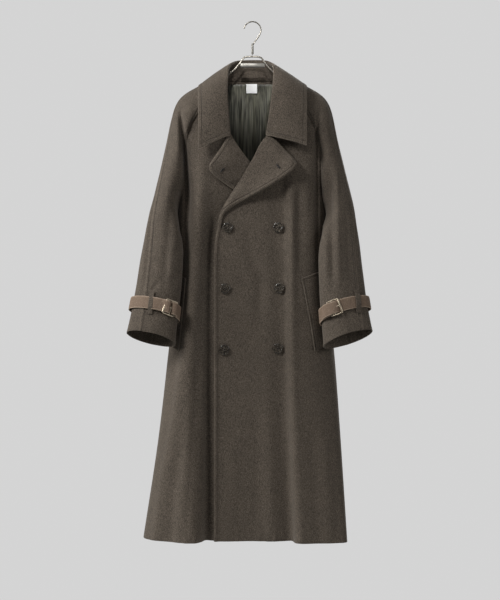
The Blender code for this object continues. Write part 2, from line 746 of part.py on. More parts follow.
def build_back() -> None:
    """The back panel and the lining that lies inside it."""
    def outward(u: float, drop: float) -> np.ndarray:
        return back_point(u, drop) - np.array((0.0, -0.01, -drop))
    us = [-1.0 + i / 8.0 for i in range(17)]
    surface_wall("back", back_point, us, BACK_DROPS, outward, WOOL, "wool")

    def inside(u: float, drop: float) -> np.ndarray:
        p = back_point(u, drop)
        across = back_point(min(1.0, u + 0.01), drop) - back_point(max(-1.0, u - 0.01), drop)
        down = back_point(u, drop + 0.002) - back_point(u, max(NECK_BACK, drop - 0.002))
        normal = unit(np.cross(across, down))
        normal = -normal if normal[1] > 0 else normal
        pleat = LINING_PLEAT * math.exp(-((p[0] - PLEAT_X) / PLEAT_HALF) ** 2)
        pleat *= smooth_step((0.9 - drop) / 0.5)
        return p + normal * (WOOL + LINING_AIR + LINING_WALL + pleat)
    us = [-0.875 + 0.125 * i for i in range(7)] + [-0.045, 0.0, 0.045] + [0.125 * i for i in range(1, 8)]
    drops = [LINING_TOP] + BACK_DROPS[2::2] + [HEM - LINING_SHORT]
    drops = sorted(set(d for d in drops if d <= HEM - LINING_SHORT))
    surface_wall("lining_back", inside, us, drops, lambda u, d: np.array((0.0, -1.0, 0.0)),
                 LINING_WALL, "satin", (False, False))

    points = []
    for drop in np.linspace(LABEL_TOP, LABEL_FOOT, 3):
        xs = [LABEL_X + LABEL_HALF * u for u in (-1.0, 0.0, 1.0)]
        line = [inside(0.02 * i, drop) for i in range(-16, 17)]
        near = [min(line, key=lambda p: abs(p[0] - x))[1] for x in xs]
        points.append([np.array((x, min(near) - LABEL_STAND, -drop)) for x in xs])
    ahead = [[np.array((0.0, -1.0, 0.0))] * 3] * 3
    cloth_wall("neck_label", points, ahead, LABEL_WALL, "label")


def front_face(panel: str, x: float, drop: float) -> Tuple[np.ndarray, np.ndarray]:
    """A point on a front's outer face and the way that face looks."""
    step = 0.0005
    p = np.array((x, body_y(panel, x, drop), -drop))
    across = np.array((2 * step, body_y(panel, x + step, drop) - body_y(panel, x - step, drop), 0.0))
    down = np.array((0.0, body_y(panel, x, drop + step) - body_y(panel, x, drop - step), -2 * step))
    normal = unit(np.cross(across, down))
    return p, normal if normal[1] < 0 else -normal


def build_lapel(side: str) -> None:
    """A lapel: the fold at the roll line, then the leaf that lies on the front."""
    panel = "front_" + side
    sign = side_sign(side)
    drops = [d for pair in zip(LAPEL_ROWS, LAPEL_ROWS[1:]) for d in (pair[0], 0.5 * sum(pair))]
    drops = [LAPEL_FOOT] + drops + [LAPEL_ROWS[-1], LAPEL_TOP]
    radius = 0.5 * (2.0 * WOOL + LAPEL_AIR)
    bends = [i * 0.25 * math.pi for i in range(5)]
    leaf = (0.14, 0.29, 0.44, 0.59, 0.73, 0.86, 1.0)
    points, normals = [], []
    for i, drop in enumerate(drops):
        share = i / (len(drops) - 1.0)
        edge_x, edge_drop, lift = LAPELS[side][i]
        x = sign * inner_edge(side, drop)
        base, ahead = front_face(panel, x, drop)
        slope = (inner_edge(side, drop + 0.004) - inner_edge(side, drop - 0.004)) / 0.008
        out = unit(np.array((-sign * 1.0, 0.0, -slope)))
        start = base - ahead * WOOL + out * 0.00055
        centre = start + ahead * radius
        row, facing = [], []
        for bend in bends:
            facing.append(-ahead * math.cos(bend) + out * math.sin(bend))
            row.append(centre + radius * facing[-1])
        fold_end = row[-1]
        tip_x = sign * edge_x
        for along in leaf:
            px = fold_end[0] + along * (tip_x - fold_end[0])
            pz = fold_end[2] + along * (-edge_drop - fold_end[2])
            on, face = front_face(panel, px, -pz)
            free = 1.0 - covered(px, -pz) if side == "right" else 1.0
            stand = 2.0 * radius - WOOL + LAPEL_CLEAR[side] + free * lift * along ** 1.3
            stand += free * 0.0035 * math.sin(math.pi * along) * smooth_step(share / 0.3)
            row.append(on + face * stand)
            facing.append(face)
        points.append(row)
        normals.append(facing)
    cloth_wall("lapel_" + side, points, normals, WOOL, "wool")


def neck_seam(side: str, share: float) -> np.ndarray:
    """Where the collar is sewn on, as for the left half: gorge (0) to centre back (1)."""
    if share <= 0.42:
        drop = 0.277 - (0.277 - NECK_FRONT) * share / 0.42
        x = inner_edge(side, drop)
        p, ahead = front_face("front_left", x, drop)
        return p - ahead * WOOL + np.array((-COLLAR_WALL - 0.0007, 0.0, 0.0))
    if share <= 0.58:
        p = sleeve_point("left", "front", 0.0, 1.0 - (share - 0.42) / 0.16)
    elif share <= 0.76:
        p = sleeve_point("left", "back", 0.0, (share - 0.58) / 0.18)
    else:
        p = back_point((1.0 - share) / 0.24, NECK_BACK)
    inward = unit(np.array((-p[0], 0.004 - p[1], 0.0)))
    return p + inward * (COLLAR_WALL + 0.0006) + np.array((0.0, 0.0, 0.0008))


def build_collar() -> None:
    """The collar: stand up to the roll line, round it, and down to its edge."""
    halves = [0.0, 0.11, 0.22, 0.33, 0.42, 0.50, 0.58, 0.67, 0.76, 0.84, 0.92, 1.0]
    stations = [(s, 1.0) for s in halves] + [(s, -1.0) for s in reversed(halves[:-1])]
    radius = COLLAR_ROLL
    lines = []
    for share, sign in stations:
        line_at = CollarStation(share, *(float(c) for c in collar_at(share)))
        roll_x, edge_drop = line_at.roll_x, line_at.edge_drop
        if sign < 0:
            roll_x += line_at.right_wider
            edge_drop += RIGHT_TIP_LOWER * smooth_step((0.5 - share) / 0.5)
        seam = neck_seam("left" if sign > 0 else "right", share)
        roll = np.array((roll_x, line_at.roll_y, -line_at.roll_drop))
        edge = np.array((line_at.edge_x, line_at.edge_y, -edge_drop))
        up = unit(roll - seam)
        away = unit(edge - roll)
        fold = unit(up - away)
        hollow = unit(away - fold * float(np.dot(away, fold)))
        line = [seam, seam + 0.55 * (roll - seam)]
        middle = roll - fold * radius
        for turn in (-1.1, -0.4, 0.4, 1.1):
            round_part = fold * math.cos(turn) + hollow * (math.sin(turn) + 0.4)
            line.append(middle + radius * round_part)
        face = unit(fold * 0.3 + hollow * 0.2 + unit(np.array((edge[0], edge[1] * 1.2, 0.06))))
        start = line[-1]
        for along in (0.22, 0.48, 0.74, 1.0):
            p = start + along * (edge - start) + face * line_at.swell * math.sin(math.pi * along ** 0.8)
            line.append(p)
        mirror = np.array((sign, 1.0, 1.0))
        lines.append([p * mirror for p in line])
    rows, columns = len(lines), len(lines[0])
    normals = []
    for r in range(rows):
        row = []
        for c in range(columns):
            here = lines[r][c]
            across = unit(lines[r][min(c + 1, columns - 1)] - here) + unit(here - lines[r][max(c - 1, 0)])
            along = unit(lines[min(r + 1, rows - 1)][c] - here) + unit(here - lines[max(r - 1, 0)][c])
            row.append(unit(np.cross(across, along)))
        normals.append(row)
    if normals[rows // 2][-1][1] < 0:
        normals = [[-n for n in row] for row in normals]
    cloth_wall("collar", lines, normals, COLLAR_WALL, "wool")


def turned(name: str, profile: Sequence[Tuple[float, float]], steps: int, place: Matrix,
           surface: str) -> bpy.types.Object:
    """A round piece, spun from a profile of radius and height."""
    shape = bmesh.new()
    line = [shape.verts.new((r, 0.0, h)) for r, h in profile]
    edges = [shape.edges.new((line[i], line[i + 1])) for i in range(len(line) - 1)]
    bmesh.ops.spin(shape, geom=line + edges, cent=(0, 0, 0), axis=(0, 0, 1), dvec=(0, 0, 0),
                   angle=2.0 * math.pi, steps=steps, use_merge=True)
    bmesh.ops.remove_doubles(shape, verts=shape.verts, dist=1e-6)
    bmesh.ops.recalc_face_normals(shape, faces=shape.faces)
    bmesh.ops.transform(shape, matrix=place, verts=shape.verts)
    mesh = bpy.data.meshes.new(name)
    shape.to_mesh(mesh)
    shape.free()
    return finish(name, mesh, surface)


def frame_at(point: np.ndarray, normal: np.ndarray, upright: np.ndarray) -> Matrix:
    """A frame on a face: its Z looks out, its Y runs along upright."""
    z = Vector(normal).normalized()
    x = Vector(upright).cross(z).normalized()
    y = z.cross(x)
    frame = Matrix((x, y, z)).transposed().to_4x4()
    frame.translation = Vector(point)
    return frame


def faces_of(name: str) -> BVHTree:
    """The faces of a node, to find places on them."""
    shape = bmesh.new()
    shape.from_mesh(bpy.data.objects[name].data)
    tree = BVHTree.FromBMesh(shape)
    shape.free()
    return tree


def on_front(tree: BVHTree, panel: str, x: float, drop: float) -> Tuple[np.ndarray, np.ndarray]:
    """A point on a finished front seen from straight ahead, and the way the cloth looks there."""
    spot = tree.ray_cast(Vector((x, -1.0, -drop)), Vector((0.0, 1.0, 0.0)))[0]
    return np.array(spot), front_face(panel, x, drop)[1]


def build_buttons() -> None:
    """Buttons on shanks: a dished disc with a raised rim."""
    r, t = BUTTON_RADIUS, BUTTON_THICK
    tree = faces_of("front_left")
    for i, place in enumerate(BUTTONS):
        p, normal = on_front(tree, "front_left", place.x, place.drop)
        frame = frame_at(p + normal * 0.0009, normal, np.array((0, 0, 1.0)))
        level = 0.0012
        for step in range(12):
            turn = math.pi * step / 6.0
            rim = frame @ Vector((1.05 * r * math.cos(turn), 1.05 * r * math.sin(turn), 0.0))
            near = on_front(tree, "front_left", rim.x, -rim.z)[0]
            level = max(level, float(np.dot(near - np.array(frame.translation), normal)) + 0.0010)
        profile = ((0.0, 0.0), (0.0040, 0.0), (0.0040, level), (0.72 * r, level), (r, level + 0.0016),
                   (0.97 * r, level + 0.86 * t), (0.84 * r, level + t), (0.68 * r, level + 0.74 * t),
                   (0.0, level + 0.66 * t))
        turned("button_%d" % (i + 1), profile, 14, frame, "horn")


def build_welts() -> None:
    """Pocket welts, made from the points of the front they lie on."""
    for name, welt in WELTS.items():
        tree = faces_of(welt.panel)
        points, normals = [], []
        for i in range(9):
            f = i / 8.0
            row, facing = [], []
            for share in (0.0, 0.25, 0.5, 0.75, 1.0):
                x = welt.x_top + f * (welt.x_foot - welt.x_top) + share * welt.width
                drop = welt.drop_top + f * (welt.drop_foot - welt.drop_top) - share * welt.rise
                p, normal = on_front(tree, welt.panel, x, drop)
                row.append(p + normal * (WELT_WALL + 0.0010))
                facing.append(normal)
            points.append(row)
            normals.append(facing)
        cloth_wall(name, points, normals, WELT_WALL, "wool")


def sleeve_ring(side: str, row: float, count: int) -> List[Tuple[np.ndarray, np.ndarray, float]]:
    """Points round a sleeve with their outward way and share from the overarm seam."""
    ring = []
    for i in range(count):
        f = i / count
        piece, share = ("front", f / 0.44) if f < 0.44 else ("back", 1.0 - (f - 0.44) / 0.56)
        p = sleeve_point(side, piece, row, share)
        ahead = sleeve_point(side, piece, row, min(1.0, share + 0.01))
        near = ahead - sleeve_point(side, piece, row, max(0.0, share - 0.01))
        near = near if piece == "front" else -near
        down = sleeve_point(side, piece, row + 0.02, share) - sleeve_point(side, piece, row - 0.02, share)
        out = unit(np.cross(near, down))
        middle = 0.5 * (sleeve_point(side, "front", row, 0.5) + sleeve_point(side, "back", row, 0.5))
        ring.append((p, out if float(np.dot(out, p - middle)) > 0 else -out, f))
    return ring


def tube_of_rings(name: str, rings: List[List[np.ndarray]], surface: str) -> bpy.types.Object:
    """A closed band whose section corners run round in rings."""
    count = len(rings[0])
    points = [p for ring in rings for p in ring]
    faces = []
    for k in range(len(rings)):
        m = (k + 1) % len(rings)
        for i in range(count):
            j = (i + 1) % count
            faces.append((k * count + i, k * count + j, m * count + j, m * count + i))
    return finish(name, mesh_from(name, points, faces), surface)


def strap_lift(side: str, f: float) -> float:
    """How far a strap's inner face stands off the sleeve, at a share of the way round."""
    return STRAP_AIR + STRAPS[side].slack * math.exp(-((f - LOOSE_AT) / LOOSE_OVER) ** 2)


def strap_edge(side: str, row: float, away: float) -> List[np.ndarray]:
    """One edge line of a sleeve strap, standing off the sleeve where it hangs loose."""
    ring = sleeve_ring(side, row, STRAP_POINTS)
    return [p + out * (strap_lift(side, f) + away) for p, out, f in ring]


def strap_rows(side: str) -> Tuple[float, float]:
    """Sleeve rows of a strap's upper and lower edge."""
    row = STRAPS[side].row
    below = sleeve_point(side, "front", row + 0.25, 0.3)
    above = sleeve_point(side, "front", row - 0.25, 0.3)
    half = 0.5 * STRAP_WIDTH * 0.5 / float(np.linalg.norm(below - above))
    return row - half, row + half


def build_strap(side: str) -> None:
    """Sleeve strap, the cloth loop that keeps it, and its buckle."""
    place = STRAPS[side]
    upper, lower = strap_rows(side)
    section = ((upper, 0.0), (lower, 0.0), (lower, STRAP_WALL), (upper, STRAP_WALL))
    tube_of_rings("strap_" + side, [strap_edge(side, row, away) for row, away in section], "webbing")
    reach = lower - upper
    rows = (upper - 0.42 * reach, upper - 0.14 * reach, upper + 0.06 * reach, 0.5 * (upper + lower),
            lower - 0.06 * reach, lower + 0.14 * reach, lower + 0.42 * reach)
    stands = (0.0, 0.0012, 0.0042, 0.0046, 0.0042, 0.0012, 0.0)
    points, normals = [], []
    for row, stand in zip(rows, stands):
        line, facing = [], []
        for share in (place.loop_to, 0.5 * (place.loop_from + place.loop_to), place.loop_from):
            p = sleeve_point(side, "front", row, share)
            ring = sleeve_ring(side, row, 100)
            out = min(ring, key=lambda r: float(np.linalg.norm(r[0] - p)))[1]
            line.append(p + out * (LOOP_AIR + LOOP_WALL + stand))
            facing.append(out)
        points.append(line)
        normals.append(facing)
    cloth_wall("strap_loop_" + side, points, normals, LOOP_WALL, "wool")
    build_buckle(side, upper, lower)


def build_buckle(side: str, upper: float, lower: float) -> None:
    """A flat frame of round bars round the strap's turned end."""
    share = STRAPS[side].buckle_share
    middle = 0.5 * (upper + lower)
    p = sleeve_point(side, "front", middle, share)
    ring = sleeve_ring(side, middle, 100)
    _, out, f = min(ring, key=lambda r: float(np.linalg.norm(r[0] - p)))
    after = sleeve_point(side, "front", middle, share + 0.05)
    along = sleeve_point(side, "front", middle, share - 0.05) - after
    up = unit(np.cross(out, along))
    up = up if up[2] > 0.0 else -up
    frame = frame_at(p + out * (strap_lift(side, f) + STRAP_WALL + BUCKLE_STAND), out, up)
    path = []
    for cx, cy, start in ((1, 1, 0.0), (-1, 1, 0.5), (-1, -1, 1.0), (1, -1, 1.5)):
        for step in range(3):
            angle = math.pi * (start + 0.25 * step)
            path.append((cx * (BUCKLE_HALF_LONG - BUCKLE_CORNER) + BUCKLE_CORNER * math.cos(angle),
                         cy * (BUCKLE_HALF_TALL - BUCKLE_CORNER) + BUCKLE_CORNER * math.sin(angle)))
    rings = []
    for k in range(6):
        turn = math.pi * (k + 0.5) / 3.0
        rings.append([])
        for x, y in path:
            flat = Vector((x / BUCKLE_HALF_LONG, y / BUCKLE_HALF_TALL, 0.0)).normalized()
            about = flat * math.cos(turn) + Vector((0.0, 0.0, math.sin(turn)))
            spot = Vector((x, y, 0.0)) + BUCKLE_BAR * about
            rings[-1].append(np.array(frame @ spot))
    tube_of_rings("buckle_" + side, rings, "buckle")


def wire(name: str, points: Sequence, radius: float, sides: int, surface: str) -> bpy.types.Object:
    """A round wire along a smooth line, closed at both ends."""
    curve = bpy.data.curves.new(name, "CURVE")
    curve.dimensions = "3D"
    curve.bevel_depth = radius
    curve.bevel_resolution = (sides - 4) // 2
    curve.use_fill_caps = True
    line = curve.splines.new("POLY")
    line.points.add(len(points) - 1)
    for spot, p in zip(line.points, points):
        spot.co = (float(p[0]), float(p[1]), float(p[2]), 1.0)
    holder = bpy.data.objects.new(name + "_line", curve)
    bpy.context.scene.collection.objects.link(holder)
    view = bpy.context.evaluated_depsgraph_get()
    mesh = bpy.data.meshes.new_from_object(holder.evaluated_get(view))
    bpy.data.objects.remove(holder, do_unlink=True)
    bpy.data.curves.remove(curve)
    mesh.materials.clear()
    shape = bmesh.new()
    shape.from_mesh(mesh)
    bmesh.ops.remove_doubles(shape, verts=shape.verts, dist=1e-6)
    bmesh.ops.recalc_face_normals(shape, faces=shape.faces)
    shape.to_mesh(mesh)
    shape.free()
    mesh.name = name
    return finish(name, mesh, surface)


HANGER_TOP = 0.0860           # drop of the wire's flat top


def arm_wire_line() -> List[Tuple[float, float, float]]:
    """Half of the shoulder wire, from its flat top out under the shoulder ridge."""
    under = WOOL + 0.0012 + ARM_WIRE
    half = [(0.0, HANGER_TOP), (0.013, HANGER_TOP), (0.021, 0.0875), (0.0262, 0.0935),
            (0.0305, 0.1020), (0.0390, 0.1120), (0.0500, 0.1225), (0.0610, 0.1320)]
    half = [(x, HANGER_PLANE, drop) for x, drop in half]
    for i in range(9):
        row = 0.30 + i * 0.28
        ridge = sleeve_point("left", "front", row, 0.0)
        below = sleeve_point("left", "front", row + 0.05, 0.0)
        near = below - sleeve_point("left", "front", row - 0.05, 0.0)
        normal = unit(np.array((near[2], 0.0, -near[0])))
        normal = normal if normal[2] < 0 else -normal
        spot = ridge + normal * under
        half.append((float(spot[0]), float(spot[1]), float(-spot[2])))
    return half


def build_hanger() -> None:
    """Hook with its stem, the bent shoulder wire, and the flat bar across it."""
    half = arm_wire_line()
    full = [(-x, y, -d) for x, y, d in reversed(half[1:])] + [(x, y, -d) for x, y, d in half]
    place = half[0][1]
    wire("hanger_arms", full, ARM_WIRE, 8, "steel")
    centre = -(HOOK_RADIUS - HOOK_WIRE)
    line = []
    for degrees in range(172, -31, -14):
        angle = math.radians(degrees)
        line.append((HOOK_RADIUS * math.cos(angle), place, centre + HOOK_RADIUS * math.sin(angle)))
    line += [(x, place, -drop) for x, drop in STEM_BEND]
    line.append((0.0, place, -(HANGER_TOP - ARM_WIRE - WIRE_AIR)))
    wire("hanger_hook", line, HOOK_WIRE, 8, "steel")
    shape = bmesh.new()
    bmesh.ops.create_cube(shape, size=1.0)
    mesh = bpy.data.meshes.new("hanger_bar")
    size = Matrix.Diagonal((BAR_LONG, BAR_DEEP, BAR_TALL, 1.0))
    lift = Matrix.Translation((0.0, place - ARM_WIRE - 0.5 * BAR_DEEP - WIRE_AIR, -BAR_DROP))
    bmesh.ops.transform(shape, matrix=lift @ size, verts=shape.verts)
    bmesh.ops.bevel(shape, geom=list(shape.edges), offset=BAR_BEVEL, segments=2, profile=0.5, affect="EDGES")
    bmesh.ops.recalc_face_normals(shape, faces=shape.faces)
    shape.to_mesh(mesh)
    shape.free()
    finish("hanger_bar", mesh, "bar", False)


build_front("right")
build_front("left")
build_back()
build_sleeve("right")
build_sleeve("left")
make_walls()
build_lapel("right")
build_lapel("left")
build_collar()
build_buttons()
build_welts()
build_strap("right")
build_strap("left")
build_hanger()
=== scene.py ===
"""Dress the long double-breasted overcoat and the wire hanger that carries it."""

import json
import logging
import math
from contextlib import contextmanager
from dataclasses import dataclass, field, replace
from enum import Enum
from typing import Callable, Dict, Iterator, List, Optional, Sequence, Tuple

import bmesh
import bpy
import numpy as np
from mathutils import Matrix, Vector
from mathutils.bvhtree import BVHTree
from mathutils.kdtree import KDTree

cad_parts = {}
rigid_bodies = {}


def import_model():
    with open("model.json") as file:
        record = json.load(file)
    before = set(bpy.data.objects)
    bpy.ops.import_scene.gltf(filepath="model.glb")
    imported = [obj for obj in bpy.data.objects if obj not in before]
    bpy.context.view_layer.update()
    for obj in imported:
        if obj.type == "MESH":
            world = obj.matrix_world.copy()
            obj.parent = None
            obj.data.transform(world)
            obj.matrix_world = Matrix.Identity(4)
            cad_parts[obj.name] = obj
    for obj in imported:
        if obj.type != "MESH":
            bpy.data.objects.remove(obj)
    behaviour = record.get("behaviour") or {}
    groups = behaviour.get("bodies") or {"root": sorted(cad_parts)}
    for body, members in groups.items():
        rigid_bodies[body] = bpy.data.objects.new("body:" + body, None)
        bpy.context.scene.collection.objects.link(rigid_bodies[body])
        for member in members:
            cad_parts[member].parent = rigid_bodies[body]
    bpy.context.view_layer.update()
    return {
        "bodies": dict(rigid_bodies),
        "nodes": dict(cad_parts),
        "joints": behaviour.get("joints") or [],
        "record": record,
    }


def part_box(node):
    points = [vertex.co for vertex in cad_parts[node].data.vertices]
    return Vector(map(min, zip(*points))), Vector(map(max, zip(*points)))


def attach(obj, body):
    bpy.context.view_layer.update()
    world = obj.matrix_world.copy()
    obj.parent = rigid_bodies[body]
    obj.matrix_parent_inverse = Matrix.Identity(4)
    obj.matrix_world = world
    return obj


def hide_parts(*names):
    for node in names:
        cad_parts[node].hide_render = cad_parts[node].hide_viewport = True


LOG = logging.getLogger("overcoat")
BODY = "root"

Point = Tuple[float, float, float]
Spot = Tuple[float, float]
Span = Tuple[float, float]
Colour = Tuple[float, float, float]
Array = np.ndarray
Piece = bpy.types.Object
Material = bpy.types.Material
Mesh = bpy.types.Mesh
Socket = bpy.types.NodeSocket
ShaderNode = bpy.types.Node
Tree = bpy.types.NodeTree
Nodes = Dict[str, Piece]

UP = Vector((0.0, 0.0, 1.0))
QUARTER_TURN = math.radians(90.0)
WELD = 1e-5
QUAD_FLOW = 1.7
FACING = 0.9
STEEP = 0.7
COLOUR_MIX_INPUTS = (0, 6, 7)
COLOUR_MIX_RESULT = 2


class Slot(Enum):
    """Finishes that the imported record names."""

    WOOL = "wool"
    LINING = "lining"
    LABEL = "label"
    WEBBING = "webbing"
    HORN = "horn"
    BUCKLE = "buckle"
    WIRE = "hanger_wire"
    BAR = "hanger_bar"


class Side(Enum):
    """The wearer's two sides, with the sign of X on each."""

    LEFT = 1
    RIGHT = -1

    @property
    def word(self) -> str:
        """The side's word in node names."""
        return self.name.lower()


# Shader helpers


class Graph:
    """Adds and joins the nodes of one shader tree."""

    def __init__(self, tree: Tree) -> None:
        """Keep the tree that nodes are added to."""
        self.tree = tree

    def node(self, kind: str, **settings: object) -> ShaderNode:
        """Add a node.

        Args:
            kind: Blender's type name of the node.
            settings: attributes to set on it.

        Returns:
            The new node.
        """
        made = self.tree.nodes.new(kind)
        for key, value in settings.items():
            setattr(made, key, value)
        return made

    def put(self, socket: Socket, value: object) -> None:
        """Join a socket to another one, or set its value.

        Args:
            socket: the input to fill.
            value: another node's output, or a plain value.
        """
        if isinstance(value, Socket):
            self.tree.links.new(value, socket)
        elif hasattr(value, "__len__") and len(value) == 3 and socket.type == "RGBA":
            socket.default_value = (*value, 1.0)
        else:
            socket.default_value = value

    def fill(self, node: ShaderNode, **values: object) -> ShaderNode:
        """Put values into a node's inputs.

        Args:
            node: the node to fill.
            values: values or sockets by input name, with spaces written as underscores.

        Returns:
            The same node.
        """
        for key, value in values.items():
            self.put(node.inputs[key.replace("_", " ")], value)
        return node

    def math(self, operation: str, first: object, second: object = 0.0) -> Socket:
        """Join two values by an arithmetic operation.

        Args:
            operation: Blender's name of the operation.
            first: its first value or socket.
            second: its second value or socket.

        Returns:
            The result's socket.
        """
        made = self.node("ShaderNodeMath", operation=operation)
        self.put(made.inputs[0], first)
        self.put(made.inputs[1], second)
        return made.outputs[0]

    def total(self, *parts: Tuple[object, float]) -> Socket:
        """Add up values.

        Args:
            parts: the values or sockets, each with the share that counts.

        Returns:
            The sum's socket.
        """
        result = 0.0
        for value, share in parts:
            result = self.math("ADD", result, self.math("MULTIPLY", value, share))
        return result

    def noise(self, vector: object, scale: object, detail: float = 2.0, rough: float = 0.5,
              twist: float = 0.0) -> Socket:
        """Add a noise texture.

        Args:
            vector: the coordinate that it reads.
            scale: its scale, as a value or socket.
            detail: how many finer layers it has.
            rough: how strong they are.
            twist: how far it is distorted.

        Returns:
            Its value socket.
        """
        made = self.node("ShaderNodeTexNoise")
        self.fill(made, Vector=vector, Scale=scale, Detail=detail, Roughness=rough, Distortion=twist)
        return made.outputs["Fac"]

    def stretch(self, vector: object, scale: Point) -> Socket:
        """Scale a coordinate by a different amount along each axis."""
        return self.fill(self.node("ShaderNodeMapping"), Vector=vector, Scale=scale).outputs["Vector"]

    def mix(self, factor: object, first: object, second: object, blend: str = "MIX") -> Socket:
        """Mix two colours.

        Args:
            factor: how much of the second is taken.
            first: the first colour or socket.
            second: the second colour or socket.
            blend: Blender's name of the way to mix.

        Returns:
            The mixed colour's socket.
        """
        made = self.node("ShaderNodeMix", data_type="RGBA", blend_type=blend)
        for order, value in zip(COLOUR_MIX_INPUTS, (factor, first, second)):
            self.put(made.inputs[order], value)
        return made.outputs[COLOUR_MIX_RESULT]

    def ease(self, value: object, low: float, high: float, start: float = 0.0,
             end: float = 1.0) -> Socket:
        """Map a value smoothly from one range to another.

        Args:
            value: the value or socket to map.
            low: value that maps to start.
            high: value that maps to end.
            start: result at low.
            end: result at high.

        Returns:
            The mapped value's socket.
        """
        made = self.node("ShaderNodeMapRange", interpolation_type="SMOOTHSTEP")
        self.fill(made, Value=value, From_Min=low, From_Max=high, To_Min=start, To_Max=end)
        return made.outputs["Result"]

    def bump(self, height: object, distance: float, strength: float) -> Socket:
        """Turn a height into a normal, by how far it reaches and how much of it shows."""
        made = self.node("ShaderNodeBump")
        return self.fill(made, Height=height, Distance=distance, Strength=strength).outputs["Normal"]


class EffectGroups:
    """Shader groups that several finishes share, each built once."""

    def __init__(self) -> None:
        """Start with no group built."""
        self.built: Dict[str, Tree] = {}

    def _start(self, name: str, inputs: Sequence[Tuple[str, str]], outputs: Sequence[str]) -> Optional[Graph]:
        """Make an empty group with named sockets, or nothing if it exists.

        Args:
            name: the group's name.
            inputs: socket names with their socket types.
            outputs: names of the value sockets that it puts out.

        Returns:
            A graph on the new group, or None.
        """
        if name in self.built:
            return None
        tree = bpy.data.node_groups.new(name, "ShaderNodeTree")
        for label, kind in inputs:
            tree.interface.new_socket(label, in_out="INPUT", socket_type=kind)
        for label in outputs:
            tree.interface.new_socket(label, in_out="OUTPUT", socket_type="NodeSocketFloat")
        self.built[name] = tree
        return Graph(tree)

    def mottle(self) -> Tree:
        """Build the uneven tone of yarn at three sizes: fibre, fleck and patch.

        Returns:
            The group's tree.
        """
        name = "yarn_mottle"
        graph = self._start(name, (("Vector", "NodeSocketVector"), ("Scale", "NodeSocketFloat")),
                            ("Fibre", "Fleck", "Patch"))
        if graph:
            into = graph.node("NodeGroupInput")
            out = graph.node("NodeGroupOutput")
            for label, share, detail, rough in (("Fibre", 1.0, 3.0, 0.7), ("Fleck", 0.24, 3.0, 0.62),
                                                ("Patch", 0.018, 2.0, 0.5)):
                size = graph.math("MULTIPLY", into.outputs["Scale"], share)
                graph.put(out.inputs[label], graph.noise(into.outputs["Vector"], size, detail, rough))
        return self.built[name]

    def sewn(self) -> Tree:
        """Build the masks of a stitched groove and of a cloth edge, from distances in metres.

        Returns:
            The group's tree.
        """
        name = "sewn_lines"
        graph = self._start(name, (("Groove", "NodeSocketFloat"), ("Edge", "NodeSocketFloat"),
                                   ("Half Width", "NodeSocketFloat")), ("Groove", "Rim", "Swell"))
        if graph:
            into = graph.node("NodeGroupInput")
            out = graph.node("NodeGroupOutput")
            off = graph.math("ABSOLUTE", into.outputs["Groove"])
            near = graph.math("DIVIDE", off, into.outputs["Half Width"])
            graph.fill(out, Groove=graph.ease(near, 0.0, 1.0, 1.0, 0.0),
                       Swell=graph.ease(near, 0.8, 4.5, 1.0, 0.0),
                       Rim=graph.ease(into.outputs["Edge"], 0.0002, 0.0024, 1.0, 0.0))
        return self.built[name]

    def scuff(self) -> Tree:
        """Build the fine handling marks and dull spots of metal and horn.

        Returns:
            The group's tree.
        """
        name = "handling_marks"
        graph = self._start(name, (("Vector", "NodeSocketVector"), ("Scale", "NodeSocketFloat")),
                            ("Marks", "Dull"))
        if graph:
            into = graph.node("NodeGroupInput")
            out = graph.node("NodeGroupOutput")
            scale = into.outputs["Scale"]
            marks = graph.noise(graph.stretch(into.outputs["Vector"], (1.0, 1.0, 0.12)), scale, 4.0, 0.75)
            dull = graph.noise(into.outputs["Vector"], graph.math("MULTIPLY", scale, 0.2), 3.0, 0.6)
            graph.fill(out, Marks=graph.ease(marks, 0.42, 0.66), Dull=graph.ease(dull, 0.35, 0.7))
        return self.built[name]


GROUPS = EffectGroups()


@dataclass(frozen=True)
class Finish:
    """What all finishes share: a name and the start of a material."""

    name: str

    def start(self) -> Tuple[Material, Graph, ShaderNode, Socket]:
        """Make an empty material.

        Returns:
            The material, its graph, its surface shader and its object coordinate.
        """
        material = bpy.data.materials.new(self.name)
        material.use_nodes = True
        graph = Graph(material.node_tree)
        surface = material.node_tree.nodes["Principled BSDF"]
        coordinate = graph.node("ShaderNodeTexCoord").outputs["Object"]
        return material, graph, surface, coordinate

    def effect(self, graph: Graph, tree: Tree, **values: object) -> ShaderNode:
        """Place a shared group in a material's graph, with its own values."""
        return graph.fill(graph.node("ShaderNodeGroup", node_tree=tree), **values)


